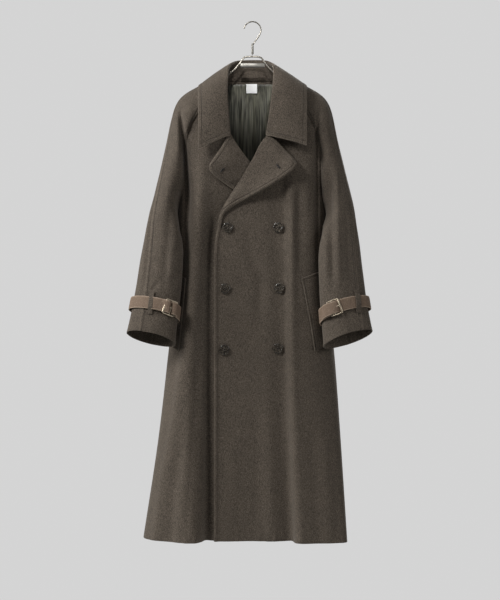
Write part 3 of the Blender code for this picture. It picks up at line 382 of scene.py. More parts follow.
@dataclass(frozen=True)
class WoolFinish(Finish):
    """Heathered coat wool with a short nap and pressed, topstitched edges."""

    dark: Colour = (0.0505, 0.0403, 0.0310)
    base: Colour = (0.0910, 0.0740, 0.0574)
    light: Colour = (0.182, 0.1510, 0.1200)
    yarn_scale: float = 1900.0
    fleck_span: Span = (0.28, 0.66)
    pale_span: Span = (0.52, 0.72)
    pale_share: float = 0.62
    heather: Point = (560.0, 560.0, 300.0)
    heather_rough: float = 0.65
    heather_swing: Span = (0.60, 1.45)
    patch_swing: Span = (0.95, 1.05)
    groove_half: float = 0.0012
    groove_shade: float = 0.75
    rim_light: float = 0.52
    rough_span: Span = (0.95, 0.84)
    nap_depth: float = 0.0006
    nap_strength: float = 0.7
    sheen: float = 0.16
    sheen_rough: float = 0.45
    sheen_tint: Colour = (0.92, 0.86, 0.78)
    specular: float = 0.2

    def material(self) -> Material:
        """Build the wool's material.

        Returns:
            The new material.
        """
        material, graph, surface, place = self.start()
        yarn = self.effect(graph, GROUPS.mottle(), Vector=place, Scale=self.yarn_scale)
        fibre, fleck, patch = (yarn.outputs[name] for name in ("Fibre", "Fleck", "Patch"))
        groove, edge = (graph.node("ShaderNodeAttribute", attribute_name=name).outputs["Fac"]
                        for name in ("groove", "edge"))
        sewn = self.effect(graph, GROUPS.sewn(), Groove=groove, Edge=edge, Half_Width=self.groove_half)
        tone = graph.mix(graph.ease(fleck, *self.fleck_span), self.dark, self.base)
        tone = graph.mix(graph.ease(fibre, *self.pale_span, 0.0, self.pale_share), tone, self.light)
        heather = graph.noise(graph.stretch(place, self.heather), 1.0, 2.0, self.heather_rough)
        uneven = graph.math("MULTIPLY", graph.ease(patch, 0.3, 0.7, *self.patch_swing),
                            graph.ease(heather, 0.30, 0.70, *self.heather_swing))
        shade = graph.node("ShaderNodeCombineColor")
        for channel in shade.inputs:
            graph.put(channel, uneven)
        tone = graph.mix(1.0, tone, shade.outputs[0], "MULTIPLY")
        # Painted shade darkens the stitched grooves, and a painted highlight lightens the pressed edges where
        # they catch the light.
        tone = graph.mix(graph.math("MULTIPLY", sewn.outputs["Groove"], self.groove_shade), tone, self.dark)
        tone = graph.mix(graph.math("MULTIPLY", sewn.outputs["Rim"], self.rim_light), tone, self.light)
        nap = graph.total((fibre, 0.55), (fleck, 0.8), (sewn.outputs["Swell"], 0.7),
                          (sewn.outputs["Groove"], -1.9))
        graph.fill(surface, Base_Color=tone, Roughness=graph.ease(fleck, 0.3, 0.7, *self.rough_span),
                   Normal=graph.bump(nap, self.nap_depth, self.nap_strength), Sheen_Weight=self.sheen,
                   Sheen_Roughness=self.sheen_rough, Sheen_Tint=self.sheen_tint,
                   Specular_IOR_Level=self.specular)
        return material


@dataclass(frozen=True)
class SatinFinish(Finish):
    """Dark olive lining satin with long streaks of sheen, painted into its colour as painted highlight and
    painted shade.
    """

    dark: Colour = (0.016, 0.016, 0.012)
    base: Colour = (0.160, 0.155, 0.116)
    streak: Point = (260.0, 260.0, 9.0)
    thread: Point = (2600.0, 2600.0, 120.0)
    rough_span: Span = (0.30, 0.44)
    depth: float = 0.0005
    strength: float = 0.45
    specular: float = 0.55
    sheen: float = 0.1

    def material(self) -> Material:
        """Build the satin's material.

        Returns:
            The new material.
        """
        material, graph, surface, place = self.start()
        streak = graph.noise(graph.stretch(place, self.streak), 1.0, 3.0, 0.6)
        thread = graph.noise(graph.stretch(place, self.thread), 1.0, 2.0, 0.5)
        height = graph.total((streak, 0.7), (thread, 0.3))
        # The streaks paint highlight and shade into the colour, from near black up to the base tone.
        graph.fill(surface, Base_Color=graph.mix(graph.ease(streak, 0.3, 0.7), self.dark, self.base),
                   Roughness=graph.ease(streak, 0.3, 0.7, *self.rough_span),
                   Normal=graph.bump(height, self.depth, self.strength),
                   Specular_IOR_Level=self.specular, Sheen_Weight=self.sheen)
        return material


@dataclass(frozen=True)
class WebbingFinish(Finish):
    """Brown strap webbing with cross ribs and paler selvedges, laid on the strap's own UV map."""

    dark: Colour = (0.090, 0.062, 0.044)
    base: Colour = (0.215, 0.152, 0.108)
    selvedge: Colour = (0.330, 0.255, 0.190)
    rib: float = 0.0017
    yarn_scale: float = 1500.0
    edge_span: Span = (0.40, 0.47)
    edge_share: float = 0.8
    depth: float = 0.0004
    strength: float = 0.8
    specular: float = 0.25

    def material(self) -> Material:
        """Build the webbing's material.

        Returns:
            The new material.
        """
        material, graph, surface, place = self.start()
        laid = graph.node("ShaderNodeUVMap", uv_map="strap").outputs["UV"]
        apart = graph.node("ShaderNodeSeparateXYZ")
        graph.put(apart.inputs[0], laid)
        turn = graph.math("MULTIPLY", apart.outputs["X"], 2.0 * math.pi / self.rib)
        rib = graph.math("MULTIPLY_ADD", graph.math("SINE", turn), 0.5)
        rib.node.inputs[2].default_value = 0.5
        yarn = self.effect(graph, GROUPS.mottle(), Vector=place, Scale=self.yarn_scale)
        fibre, fleck = yarn.outputs["Fibre"], yarn.outputs["Fleck"]
        tone = graph.mix(graph.ease(rib, 0.1, 0.9, 0.25, 1.0), self.dark, self.base)
        tone = graph.mix(graph.ease(fleck, 0.45, 0.75, 0.0, 0.45), tone, self.selvedge)
        across = graph.math("ABSOLUTE", graph.math("SUBTRACT", apart.outputs["Y"], 0.5))
        tone = graph.mix(graph.ease(across, *self.edge_span, 0.0, self.edge_share), tone, self.selvedge)
        height = graph.math("ADD", rib, graph.math("MULTIPLY", fibre, 0.5))
        graph.fill(surface, Base_Color=tone, Roughness=graph.ease(fibre, 0.3, 0.7, 0.9, 0.72),
                   Normal=graph.bump(height, self.depth, self.strength), Specular_IOR_Level=self.specular)
        return material


@dataclass(frozen=True)
class HornFinish(Finish):
    """Mottled brown horn with a half gloss."""

    dark: Colour = (0.010, 0.008, 0.006)
    base: Colour = (0.036, 0.029, 0.022)
    light: Colour = (0.380, 0.325, 0.250)
    cloud_scale: float = 150.0
    vein_scale: float = 420.0
    vein_span: Span = (0.54, 0.70)
    vein_share: float = 0.65
    mark_scale: float = 1800.0
    rough_span: Span = (0.20, 0.36)
    coat: float = 1.0
    coat_rough: float = 0.15

    def material(self) -> Material:
        """Build the horn's material.

        Returns:
            The new material.
        """
        material, graph, surface, place = self.start()
        cloud = graph.noise(place, self.cloud_scale, 4.0, 0.6, 1.2)
        vein = graph.noise(graph.stretch(place, (1.0, 1.0, 0.45)), self.vein_scale, 3.0, 0.6, 2.0)
        tone = graph.mix(graph.ease(cloud, 0.35, 0.62), self.dark, self.base)
        tone = graph.mix(graph.ease(vein, *self.vein_span, 0.0, self.vein_share), tone, self.light)
        marks = self.effect(graph, GROUPS.scuff(), Vector=place, Scale=self.mark_scale)
        graph.fill(surface, Base_Color=tone,
                   Roughness=graph.ease(marks.outputs["Dull"], 0.0, 1.0, *self.rough_span),
                   Normal=graph.bump(cloud, 0.0003, 0.25),
                   Coat_Weight=self.coat, Coat_Roughness=self.coat_rough)
        return material


@dataclass(frozen=True)
class MetalFinish(Finish):
    """Plated or drawn metal with handling marks."""

    base: Colour
    worn: Colour
    rough_span: Span
    mark_scale: float = 1400.0
    worn_share: float = 0.55

    def material(self) -> Material:
        """Build the metal's material.

        Returns:
            The new material.
        """
        material, graph, surface, place = self.start()
        marks = self.effect(graph, GROUPS.scuff(), Vector=place, Scale=self.mark_scale)
        worn = graph.math("MULTIPLY", marks.outputs["Dull"], self.worn_share)
        graph.fill(surface, Base_Color=graph.mix(worn, self.base, self.worn),
                   Roughness=graph.ease(marks.outputs["Marks"], 0.0, 1.0, *self.rough_span),
                   Normal=graph.bump(marks.outputs["Marks"], 0.0001, 0.3), Metallic=1.0)
        return material


@dataclass(frozen=True)
class LabelFinish(Finish):
    """Plain white woven label."""

    base: Colour = (0.92, 0.92, 0.91)
    gap: Colour = (0.74, 0.74, 0.73)
    pick: float = 0.00055
    yarn_scale: float = 1800.0

    def material(self) -> Material:
        """Build the label's material.

        Returns:
            The new material.
        """
        material, graph, surface, place = self.start()
        apart = graph.node("ShaderNodeSeparateXYZ")
        graph.put(apart.inputs[0], place)
        turn = 2.0 * math.pi / self.pick
        warp, weft = (graph.math("SINE", graph.math("MULTIPLY", apart.outputs[axis], turn))
                      for axis in ("X", "Z"))
        weave = graph.math("MULTIPLY", warp, weft)
        yarn = self.effect(graph, GROUPS.mottle(), Vector=place, Scale=self.yarn_scale)
        tone = graph.mix(graph.ease(weave, -0.9, 0.4, 0.55, 0.0), self.base, self.gap)
        tone = graph.mix(graph.ease(yarn.outputs["Fleck"], 0.4, 0.8, 0.0, 0.25), tone, self.gap)
        graph.fill(surface, Base_Color=tone, Roughness=graph.ease(yarn.outputs["Fibre"], 0.3, 0.7, 0.75, 0.6),
                   Normal=graph.bump(weave, 0.00015, 0.6))
        return material


@dataclass(frozen=True)
class ThreadFinish(Finish):
    """Twisted sewing thread."""

    base: Colour = (0.090, 0.075, 0.060)
    dark: Colour = (0.035, 0.028, 0.022)
    yarn_scale: float = 4200.0

    def material(self) -> Material:
        """Build the thread's material.

        Returns:
            The new material.
        """
        material, graph, surface, place = self.start()
        fibre = self.effect(graph, GROUPS.mottle(), Vector=place, Scale=self.yarn_scale).outputs["Fibre"]
        graph.fill(surface, Base_Color=graph.mix(graph.ease(fibre, 0.35, 0.65), self.dark, self.base),
                   Roughness=graph.ease(fibre, 0.3, 0.7, 0.8, 0.6), Normal=graph.bump(fibre, 0.0002, 0.5))
        return material


@dataclass(frozen=True)
class FloorFinish(Finish):
    """Plain pale studio floor."""

    base: Colour = (0.66, 0.66, 0.65)
    cloud: Colour = (0.70, 0.70, 0.69)

    def material(self) -> Material:
        """Build the floor's material.

        Returns:
            The new material.
        """
        material, graph, surface, place = self.start()
        cloud = graph.noise(place, 3.0, 2.0)
        graph.fill(surface, Base_Color=graph.mix(cloud, self.base, self.cloud),
                   Roughness=graph.ease(cloud, 0.2, 0.8, 0.8, 0.9))
        return material


# Mesh helpers


def clear_selection() -> None:
    """Leave the next new piece alone in the selection."""
    bpy.ops.object.select_all(action="DESELECT")


def activate(obj: Piece) -> None:
    """Select one object alone and make it active."""
    clear_selection()
    obj.select_set(True)
    bpy.context.view_layer.objects.active = obj


def apply_modifiers(obj: Piece) -> None:
    """Apply an object's modifiers in order."""
    activate(obj)
    for modifier in list(obj.modifiers):
        bpy.ops.object.modifier_apply(modifier=modifier.name)


def new_object(name: str, data: bpy.types.ID) -> Piece:
    """Put a mesh, light or camera in the scene at the origin.

    Args:
        name: the object's name.
        data: what it shows.

    Returns:
        The new object.
    """
    obj = bpy.data.objects.new(name, data)
    bpy.context.scene.collection.objects.link(obj)
    return obj


@contextmanager
def editing(select: str = "FACE") -> Iterator[None]:
    """Shape the active object in edit mode.

    Args:
        select: what selections act on.

    Yields:
        Nothing, while edit mode lasts.
    """
    bpy.ops.object.mode_set(mode="EDIT")
    bpy.ops.mesh.select_mode(type=select)
    yield
    bpy.ops.object.mode_set(mode="OBJECT")


def select_faces(obj: Piece, test: Callable[[Vector], bool]) -> None:
    """Select, in edit mode, the faces whose normal passes a test.

    Args:
        obj: the object in edit mode.
        test: says of a normal whether its face is wanted.
    """
    shape = bmesh.from_edit_mesh(obj.data)
    for face in shape.faces:
        face.select_set(test(face.normal))
    shape.select_flush_mode()
    bmesh.update_edit_mesh(obj.data)


def inset_ends(obj: Piece, axis: int, thickness: float, depth: float) -> None:
    """Step both ends of a round piece, in edit mode.

    Args:
        obj: the object in edit mode.
        axis: the axis that it lies along.
        thickness: how far the step goes in.
        depth: how far it goes out.
    """
    select_faces(obj, lambda normal: abs(normal[axis]) > FACING)
    bpy.ops.mesh.inset(thickness=thickness, depth=depth, use_individual=True)


def join(objects: Sequence[Piece], name: str) -> Piece:
    """Join objects into the first of them.

    Args:
        objects: the objects to join.
        name: the new name.

    Returns:
        The joined object.
    """
    activate(objects[0])
    for obj in objects[1:]:
        obj.select_set(True)
    bpy.ops.object.join()
    objects[0].name = name
    objects[0].data.name = name
    return objects[0]


def settle(obj: Piece, place: Matrix) -> None:
    """Move an object's mesh to its place and leave the object at the origin.

    Args:
        obj: the object.
        place: where its mesh goes.
    """
    obj.data.transform(place @ obj.matrix_basis)
    obj.matrix_basis = Matrix.Identity(4)
    obj.data.update()


def dress(obj: Piece, material: Material, degrees: float = 40.0) -> None:
    """Give a piece its one material and smooth shading.

    Args:
        obj: the piece.
        material: its material.
        degrees: the angle over which edges stay sharp.
    """
    obj.data.materials.clear()
    obj.data.materials.append(material)
    activate(obj)
    bpy.ops.object.shade_smooth_by_angle(angle=math.radians(degrees))


def soften(obj: Piece, width: float, segments: int = 3, degrees: float = 40.0) -> None:
    """Round an object's sharp edges.

    Args:
        obj: the object.
        width: how far the rounding reaches.
        segments: how many faces it has.
        degrees: the angle over which an edge is rounded.
    """
    rim = obj.modifiers.new("round", "BEVEL")
    rim.width = width
    rim.segments = segments
    rim.limit_method = "ANGLE"
    rim.angle_limit = math.radians(degrees)
    apply_modifiers(obj)


def thicken(obj: Piece, wall: float, offset: float) -> bpy.types.Modifier:
    """Set a wall's thickness on an object.

    Args:
        obj: the object, one layer thick.
        wall: the thickness.
        offset: -1 for a wall behind the layer, 0 for one on both sides.

    Returns:
        The modifier.
    """
    made = obj.modifiers.new("wall", "SOLIDIFY")
    made.thickness = wall
    made.offset = offset
    return made


def hand_over(obj: Piece, slot: Slot, *nodes: str) -> None:
    """Let a finished piece ride on the coat's body, and hide the CAD nodes that it replaces.

    Args:
        obj: the piece.
        slot: not used.
        nodes: the CAD nodes that it replaces.
    """
    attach(obj, BODY)
    if nodes:
        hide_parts(*nodes)
    LOG.info("%s: %d faces", obj.name, len(obj.data.polygons))


def turn_to(centre: Vector, out: Vector, upright: Vector) -> Matrix:
    """Make a frame whose Z looks out and whose Y runs along upright.

    Args:
        centre: its origin.
        out: where its Z looks.
        upright: where its Y runs.

    Returns:
        The frame.
    """
    z = out.normalized()
    x = upright.cross(z).normalized()
    frame = Matrix((x, z.cross(x), z)).transposed().to_4x4()
    return Matrix.Translation(centre) @ frame


def copy_of(obj: Piece, name: str, place: Matrix) -> Piece:
    """Copy a modelled piece, with its own mesh, to a place.

    Args:
        obj: the pattern.
        name: the copy's name.
        place: where it goes.

    Returns:
        The copy.
    """
    made = new_object(name, obj.data.copy())
    made.data.name = name
    settle(made, place)
    return made


def drop_object(obj: Piece) -> None:
    """Remove an object that was only a pattern or a cutter."""
    mesh = obj.data
    bpy.data.objects.remove(obj, do_unlink=True)
    bpy.data.meshes.remove(mesh)


def welded(mesh: Mesh) -> bmesh.types.BMesh:
    """Read a CAD mesh with its doubled points merged.

    Args:
        mesh: the CAD node's mesh.

    Returns:
        The welded shape.
    """
    shape = bmesh.new()
    shape.from_mesh(mesh)
    bmesh.ops.remove_doubles(shape, verts=shape.verts, dist=WELD)
    return shape


def join_quads(shape: bmesh.types.BMesh, bend: float = math.pi) -> None:
    """Join a shape's triangles into quads, up to a bend between them."""
    bmesh.ops.join_triangles(shape, faces=shape.faces, angle_face_threshold=bend,
                             angle_shape_threshold=math.pi, topology_influence=QUAD_FLOW)


def mesh_of(shape: bmesh.types.BMesh, name: str) -> Mesh:
    """Turn a shape into a mesh and free it.

    Args:
        shape: the shape.
        name: the mesh's name.

    Returns:
        The new mesh.
    """
    mesh = bpy.data.meshes.new(name)
    shape.to_mesh(mesh)
    shape.free()
    return mesh


def unit(vector: Array) -> Array:
    """Scale vectors to length one."""
    return vector / np.maximum(np.linalg.norm(vector, axis=-1, keepdims=True), 1e-12)


def ramp(value: Array) -> Array:
    """Rise smoothly from 0 to 1 as a value goes from 0 to 1."""
    bounded = np.clip(value, 0.0, 1.0)
    return bounded * bounded * (3.0 - 2.0 * bounded)


def vertex_arrays(mesh: Mesh) -> Tuple[Array, Array]:
    """Read a mesh's points and normals.

    Args:
        mesh: the mesh.

    Returns:
        The points and the normals, as arrays of three columns.
    """
    arrays = []
    for key in ("co", "normal"):
        values = np.zeros(len(mesh.vertices) * 3)
        mesh.vertices.foreach_get(key, values)
        arrays.append(values.reshape(-1, 3))
    return arrays[0], arrays[1]


def set_points(mesh: Mesh, points: Array) -> None:
    """Move a mesh's points."""
    mesh.vertices.foreach_set("co", points.reshape(-1))
    mesh.update()


def places_along(line: Array) -> Array:
    """Distance of each point of a line from its start."""
    lengths = np.linalg.norm(np.diff(line, axis=0), axis=1)
    return np.concatenate(((0.0,), np.cumsum(lengths)))


def read_at(wanted: Array, places: Array, rows: Array) -> Array:
    """Read every column of rows at wanted places between them."""
    return np.stack([np.interp(wanted, places, column) for column in rows.T], axis=1)


def resample(line: Array, step: float) -> Array:
    """Find points at an even step along a line.

    Args:
        line: the line's points.
        step: the distance between the new ones.

    Returns:
        The new points.
    """
    places = places_along(line)
    count = max(2, int(places[-1] / step) + 1)
    return read_at(np.linspace(0.0, places[-1], count), places, line)


def frame_of(node: Piece) -> Tuple[Vector, Vector, Vector, Vector]:
    """Measure how a flat node lies.

    Args:
        node: a CAD node that is longest one way and thinnest another.

    Returns:
        Its centre, and its long, middle and thin directions.
    """
    points = np.array([v.co for v in node.data.vertices])
    points = np.unique(np.round(points, 6), axis=0)
    centre = 0.5 * (points.min(axis=0) + points.max(axis=0))
    turned = np.linalg.svd(points - points.mean(axis=0), full_matrices=False)[2]
    return Vector(centre), Vector(turned[0]), Vector(turned[1]), Vector(turned[2])


# Creases


@dataclass(frozen=True)
class Crease:
    """A soft ridge or trough along a line, in metres as seen from the front.

    Attributes:
        line: its points as (x, z).
        height: how far it stands out of the cloth, or into it when under zero.
        half: half its width at the line's start.
        grow: its width at the line's end, as a share of that at the start.
        right: its width on the side of larger x, as a share of the other.
        taper: shares of the line over which it rises and dies away.
    """

    line: Tuple[Spot, ...]
    height: float
    half: float
    grow: float = 1.0
    right: float = 1.0
    taper: Tuple[float, float] = (0.22, 0.22)

    def rise(self, across: Array, up: Array) -> Array:
        """Height of the crease at points.

        Args:
            across: the points' x.
            up: the points' z.

        Returns:
            How far each point moves out of the cloth.
        """
        spots = np.array(self.line)
        steps = np.diff(spots, axis=0)
        lengths = np.linalg.norm(steps, axis=1)
        starts = np.concatenate(((0.0,), np.cumsum(lengths)))
        best = np.full(across.shape, 9.0)
        along = np.zeros(across.shape)
        beside = np.zeros(across.shape)
        for spot, step, length, start in zip(spots, steps, lengths, starts):
            share = ((across - spot[0]) * step[0] + (up - spot[1]) * step[1]) / (length * length)
            share = np.clip(share, 0.0, 1.0)
            off = across - spot[0] - share * step[0]
            gap = np.hypot(off, up - spot[1] - share * step[1])
            nearer = gap < best
            best = np.where(nearer, gap, best)
            along = np.where(nearer, start + share * length, along)
            beside = np.where(nearer, off, beside)
        place = along / starts[-1]
        half = self.half * (1.0 + (self.grow - 1.0) * place) * np.where(beside > 0.0, self.right, 1.0)
        ends = ramp(place / self.taper[0]) * ramp((1.0 - place) / self.taper[1])
        return self.height * np.exp(-(best / half) ** 2) * ends


HEM_SEWN = -1.235
HEM_OUT = -1.330
TO_HEM = (0.3, 0.05)


def hem_puckers(*pulls: Spot) -> Tuple[Crease, ...]:
    """Short pulls in the hem, where it is sewn up inside, each given by its x and height."""
    return tuple(Crease(((x, HEM_SEWN), (x + 0.001, HEM_OUT)), height, 0.0045, taper=(0.5, 0.05))
                 for x, height in pulls)


# The folds over the lap go through both of its layers
LAP_FOLD = Crease(((0.074, -0.330), (0.073, -0.600), (0.074, -0.900), (0.080, -1.080), (0.092, -1.360)),
                  -0.0076, 0.026, right=0.40, taper=(0.12, 0.05))
LAP_DRAG = Crease(((-0.026, -0.535), (0.020, -0.636), (0.012, -0.790)), -0.0042, 0.014)
FRONT_LEFT_CREASES = (
    LAP_FOLD,
    LAP_DRAG,
    Crease(((-0.073, -0.485), (-0.086, -0.540), (-0.0895, -0.600), (-0.0895, -0.800), (-0.0895, -1.340)),
           0.0042, 0.006, taper=(0.10, 0.02)),
    Crease(((0.034, -0.565), (0.050, -0.695), (0.052, -0.850)), 0.0014, 0.014),
    Crease(((0.097, -0.380), (0.097, -0.690), (0.099, -0.900), (0.104, -1.060), (0.117, -1.360)),
           0.0060, 0.008, grow=1.4, right=1.2, taper=(0.10, 0.05)),
    Crease(((0.114, -0.400), (0.114, -0.520), (0.116, -0.640)), -0.0030, 0.009),
    Crease(((0.134, -0.330), (0.133, -0.470), (0.131, -0.600)), 0.0026, 0.010),
    Crease(((0.148, -0.420), (0.150, -0.620), (0.154, -0.860)), 0.0060, 0.022, taper=(0.30, 0.30)),
    Crease(((0.058, -0.296), (0.082, -0.328), (0.100, -0.362)), -0.0110, 0.013, taper=(0.20, 0.30)),
    Crease(((0.160, -0.935), (0.180, -1.110), (0.196, -1.340)), 0.0030, 0.014, taper=TO_HEM),
    Crease(((0.138, -0.980), (0.150, -1.120), (0.160, -1.340)), -0.0026, 0.013, taper=TO_HEM),
    Crease(((-0.040, -0.985), (-0.050, -1.130), (-0.060, -1.340)), 0.0020, 0.018, taper=TO_HEM),
    Crease(((0.006, -0.900), (0.013, -1.110), (0.009, -1.340)), -0.0022, 0.018, taper=TO_HEM),
    Crease(((0.040, -0.960), (0.046, -1.120), (0.042, -1.340)), 0.0020, 0.014, taper=TO_HEM),
    *hem_puckers((-0.036, 0.0014), (-0.014, -0.0013), (0.015, 0.0016), (0.028, -0.0014),
                 (0.055, 0.0014), (0.082, -0.0016)),
)
FRONT_RIGHT_CREASES = (
    LAP_FOLD,
    LAP_DRAG,
    Crease(((-0.131, -0.330), (-0.128, -0.450), (-0.138, -0.600), (-0.160, -0.800), (-0.185, -0.980),
            (-0.215, -1.130), (-0.246, -1.340)), 0.0080, 0.015, right=1.3, taper=(0.12, 0.05)),
    Crease(((-0.084, -0.430), (-0.100, -0.540), (-0.103, -0.700), (-0.104, -1.000), (-0.106, -1.340)),
           -0.0115, 0.012, right=1.5, taper=(0.15, 0.05)),
    Crease(((-0.128, -0.800), (-0.140, -1.000), (-0.152, -1.136), (-0.166, -1.340)), -0.0028, 0.012),
    Crease(((-0.165, -1.000), (-0.190, -1.150), (-0.205, -1.340)), -0.0026, 0.012, taper=TO_HEM),
    *hem_puckers((-0.110, -0.0013), (-0.140, 0.0012), (-0.172, -0.0014)),
)
BACK_CREASES = (
    Crease(((-0.110, -0.300), (-0.060, -0.400), (-0.048, -0.560)), -0.0022, 0.015),
    Crease(((0.120, -0.290), (0.074, -0.390), (0.058, -0.600)), -0.0024, 0.014),
    Crease(((-0.010, -0.480), (-0.014, -0.800), (-0.004, -1.300)), 0.0030, 0.013),
    Crease(((0.030, -0.620), (0.034, -0.900), (0.046, -1.300)), -0.0034, 0.014),
    Crease(((-0.070, -0.560), (-0.082, -0.850), (-0.104, -1.300)), 0.0034, 0.012),
    Crease(((-0.044, -0.700), (-0.052, -0.960), (-0.060, -1.300)), -0.0030, 0.013),
    Crease(((0.086, -0.600), (0.098, -0.900), (0.116, -1.300)), 0.0036, 0.011),
    Crease(((0.150, -0.640), (0.164, -0.900), (0.186, -1.300)), -0.0032, 0.014),
    Crease(((-0.150, -0.620), (-0.166, -0.900), (-0.196, -1.300)), -0.0032, 0.014),
    *hem_puckers((-0.150, 0.0012), (-0.080, -0.0012), (0.004, 0.0013), (0.070, -0.0013),
                 (0.140, 0.0012)),
)
SLEEVE_CREASES: Dict[str, Tuple[Crease, ...]] = {
    "sleeve_right_front": (
        Crease(((-0.196, -0.400), (-0.206, -0.540), (-0.218, -0.680)), -0.0024, 0.009),
        Crease(((-0.184, -0.420), (-0.192, -0.560), (-0.204, -0.680)), 0.0022, 0.008),
        Crease(((-0.170, -0.560), (-0.198, -0.592)), -0.0014, 0.006),
        Crease(((-0.170, -0.628), (-0.204, -0.652)), -0.0012, 0.006),
        Crease(((-0.248, -0.676), (-0.226, -0.650)), -0.0022, 0.005),
        Crease(((-0.150, -0.200), (-0.160, -0.290)), 0.0024, 0.012),
    ),
    "sleeve_right_back": (
        Crease(((-0.240, -0.430), (-0.254, -0.520), (-0.266, -0.620), (-0.274, -0.690)), 0.0030, 0.008),
        Crease(((-0.228, -0.450), (-0.242, -0.560), (-0.258, -0.680)), -0.0026, 0.006),
        Crease(((-0.190, -0.420), (-0.206, -0.560), (-0.224, -0.680)), -0.0024, 0.010),
        Crease(((-0.170, -0.560), (-0.220, -0.600)), -0.0016, 0.007),
        Crease(((-0.176, -0.640), (-0.222, -0.664)), 0.0014, 0.007),
    ),
    "sleeve_left_front": (
        Crease(((0.177, -0.330), (0.178, -0.480), (0.179, -0.680)), 0.0034, 0.006),
        Crease(((0.190, -0.330), (0.191, -0.480), (0.193, -0.690)), -0.0036, 0.006),
        Crease(((0.206, -0.340), (0.207, -0.500), (0.210, -0.690)), 0.0036, 0.007),
        Crease(((0.226, -0.440), (0.232, -0.560), (0.236, -0.680)), -0.0018, 0.008),
        Crease(((0.172, -0.590), (0.196, -0.612)), -0.0012, 0.006),
        Crease(((0.150, -0.200), (0.156, -0.290)), 0.0022, 0.012),
    ),
    "sleeve_left_back": (
        Crease(((0.236, -0.430), (0.250, -0.540), (0.262, -0.690)), 0.0024, 0.008),
        Crease(((0.226, -0.450), (0.238, -0.560), (0.250, -0.680)), -0.0022, 0.006),
        Crease(((0.186, -0.430), (0.200, -0.560), (0.216, -0.680)), -0.0026, 0.010),
        Crease(((0.168, -0.580), (0.214, -0.612)), -0.0016, 0.007),
        Crease(((0.172, -0.500), (0.210, -0.524)), 0.0014, 0.008),
    ),
}
# Deep folds between the sleeves and the body, pushed straight in, across the seams
FRONT_DENTS = (
    Crease(((-0.1805, -0.195), (-0.1767, -0.250), (-0.1717, -0.295), (-0.1643, -0.369), (-0.1594, -0.443),
            (-0.163, -0.540), (-0.172, -0.640)), 0.019, 0.0058, grow=1.5, taper=(0.22, 0.40)),
    Crease(((0.1700, -0.195), (0.1617, -0.255), (0.1568, -0.297), (0.1568, -0.374), (0.158, -0.443),
            (0.159, -0.547), (0.164, -0.640)), 0.010, 0.0042, grow=1.4, taper=(0.22, 0.40)),
)
BACK_DENTS = (
    Crease(((-0.150, -0.250), (-0.164, -0.330), (-0.172, -0.420)), -0.010, 0.008, grow=1.3, taper=(0.3, 0.5)),
    Crease(((0.152, -0.240), (0.164, -0.330), (0.170, -0.415)), -0.011, 0.008, grow=1.3, taper=(0.3, 0.5)),
)
# Sideways easing that closes the underarms, out on the body and in on the sleeves
BODY_PULLS = (
    Crease(((-0.176, -0.420), (-0.187, -0.477), (-0.191, -0.530)), -0.0008, 0.012),
    Crease(((0.173, -0.420), (0.182, -0.477), (0.185, -0.530)), 0.0008, 0.012),
)
SLEEVE_PULLS = (
    Crease(((-0.176, -0.420), (-0.187, -0.477), (-0.191, -0.530)), 0.0012, 0.012),
    Crease(((0.173, -0.420), (0.183, -0.477), (0.185, -0.530)), -0.0012, 0.012),
)
LINING_CREASES = (
    Crease(((-0.026, -0.165), (-0.022, -0.300), (-0.024, -0.460)), 0.0028, 0.006),
    Crease(((-0.046, -0.180), (-0.042, -0.320), (-0.046, -0.480)), 0.0016, 0.006),
    Crease(((0.050, -0.150), (0.030, -0.240), (0.022, -0.380)), 0.0030, 0.006),
    Crease(((0.000, -0.185), (0.001, -0.300), (0.002, -0.460)), 0.0026, 0.004),
    Crease(((0.070, -0.170), (0.056, -0.300), (0.060, -0.520)), 0.0020, 0.007),
    Crease(((-0.070, -0.170), (-0.062, -0.320), (-0.070, -0.560)), 0.0022, 0.009),
    Crease(((0.000, -0.560), (0.004, -0.900), (-0.004, -1.240)), 0.0026, 0.014),
    Crease(((-0.100, -0.600), (-0.112, -0.900), (-0.120, -1.240)), 0.0026, 0.015),
    Crease(((0.096, -0.600), (0.108, -0.900), (0.122, -1.240)), 0.0024, 0.015),
    Crease(((0.000, -0.260), (0.000, -0.700), (0.000, -1.260)), 0.0016, 0.300, taper=(0.15, 0.03)),
)
LAPEL_LEFT_CREASES = (
    Crease(((0.104, -0.352), (0.060, -0.398), (0.012, -0.440), (-0.050, -0.492)), 0.0020, 0.014,
           taper=(0.05, 0.30)),
)
LAPEL_LIFT = (
    Crease(((0.070, -0.330), (0.106, -0.374), (0.084, -0.394), (0.021, -0.430), (-0.034, -0.470)),
           -0.0085, 0.021, taper=(0.22, 0.34)),
)
LAPEL_RIGHT_CREASES = (
    Crease(((-0.104, -0.360), (-0.076, -0.384), (-0.040, -0.410)), 0.0050, 0.012, taper=(0.05, 0.20)),
)


@dataclass(frozen=True)
class Ripple:
    """A faint unevenness all over a cloth, from a few crossing waves."""

    height: float = 0.0007
    lengths: Tuple[float, ...] = (0.071, 0.113, 0.047, 0.167)
    first_turn: float = 0.7
    next_turn: float = 1.9
    lean: Span = (0.6, 0.55)
    shift: float = 1.3

    def rise(self, points: Array) -> Array:
        """Find the height of the unevenness.

        Args:
            points: the cloth's points.

        Returns:
            How far each point moves out of the cloth.
        """
        total = np.zeros(len(points))
        for order, length in enumerate(self.lengths):
            turn = self.first_turn + self.next_turn * order
            ways = np.array((math.cos(turn), self.lean[0] * math.sin(2.0 * turn),
                             self.lean[1] * math.sin(turn)))
            total += np.sin(points @ ways * (2.0 * math.pi / length) + self.shift * order)
        return self.height * total / len(self.lengths)


# Cloth pieces

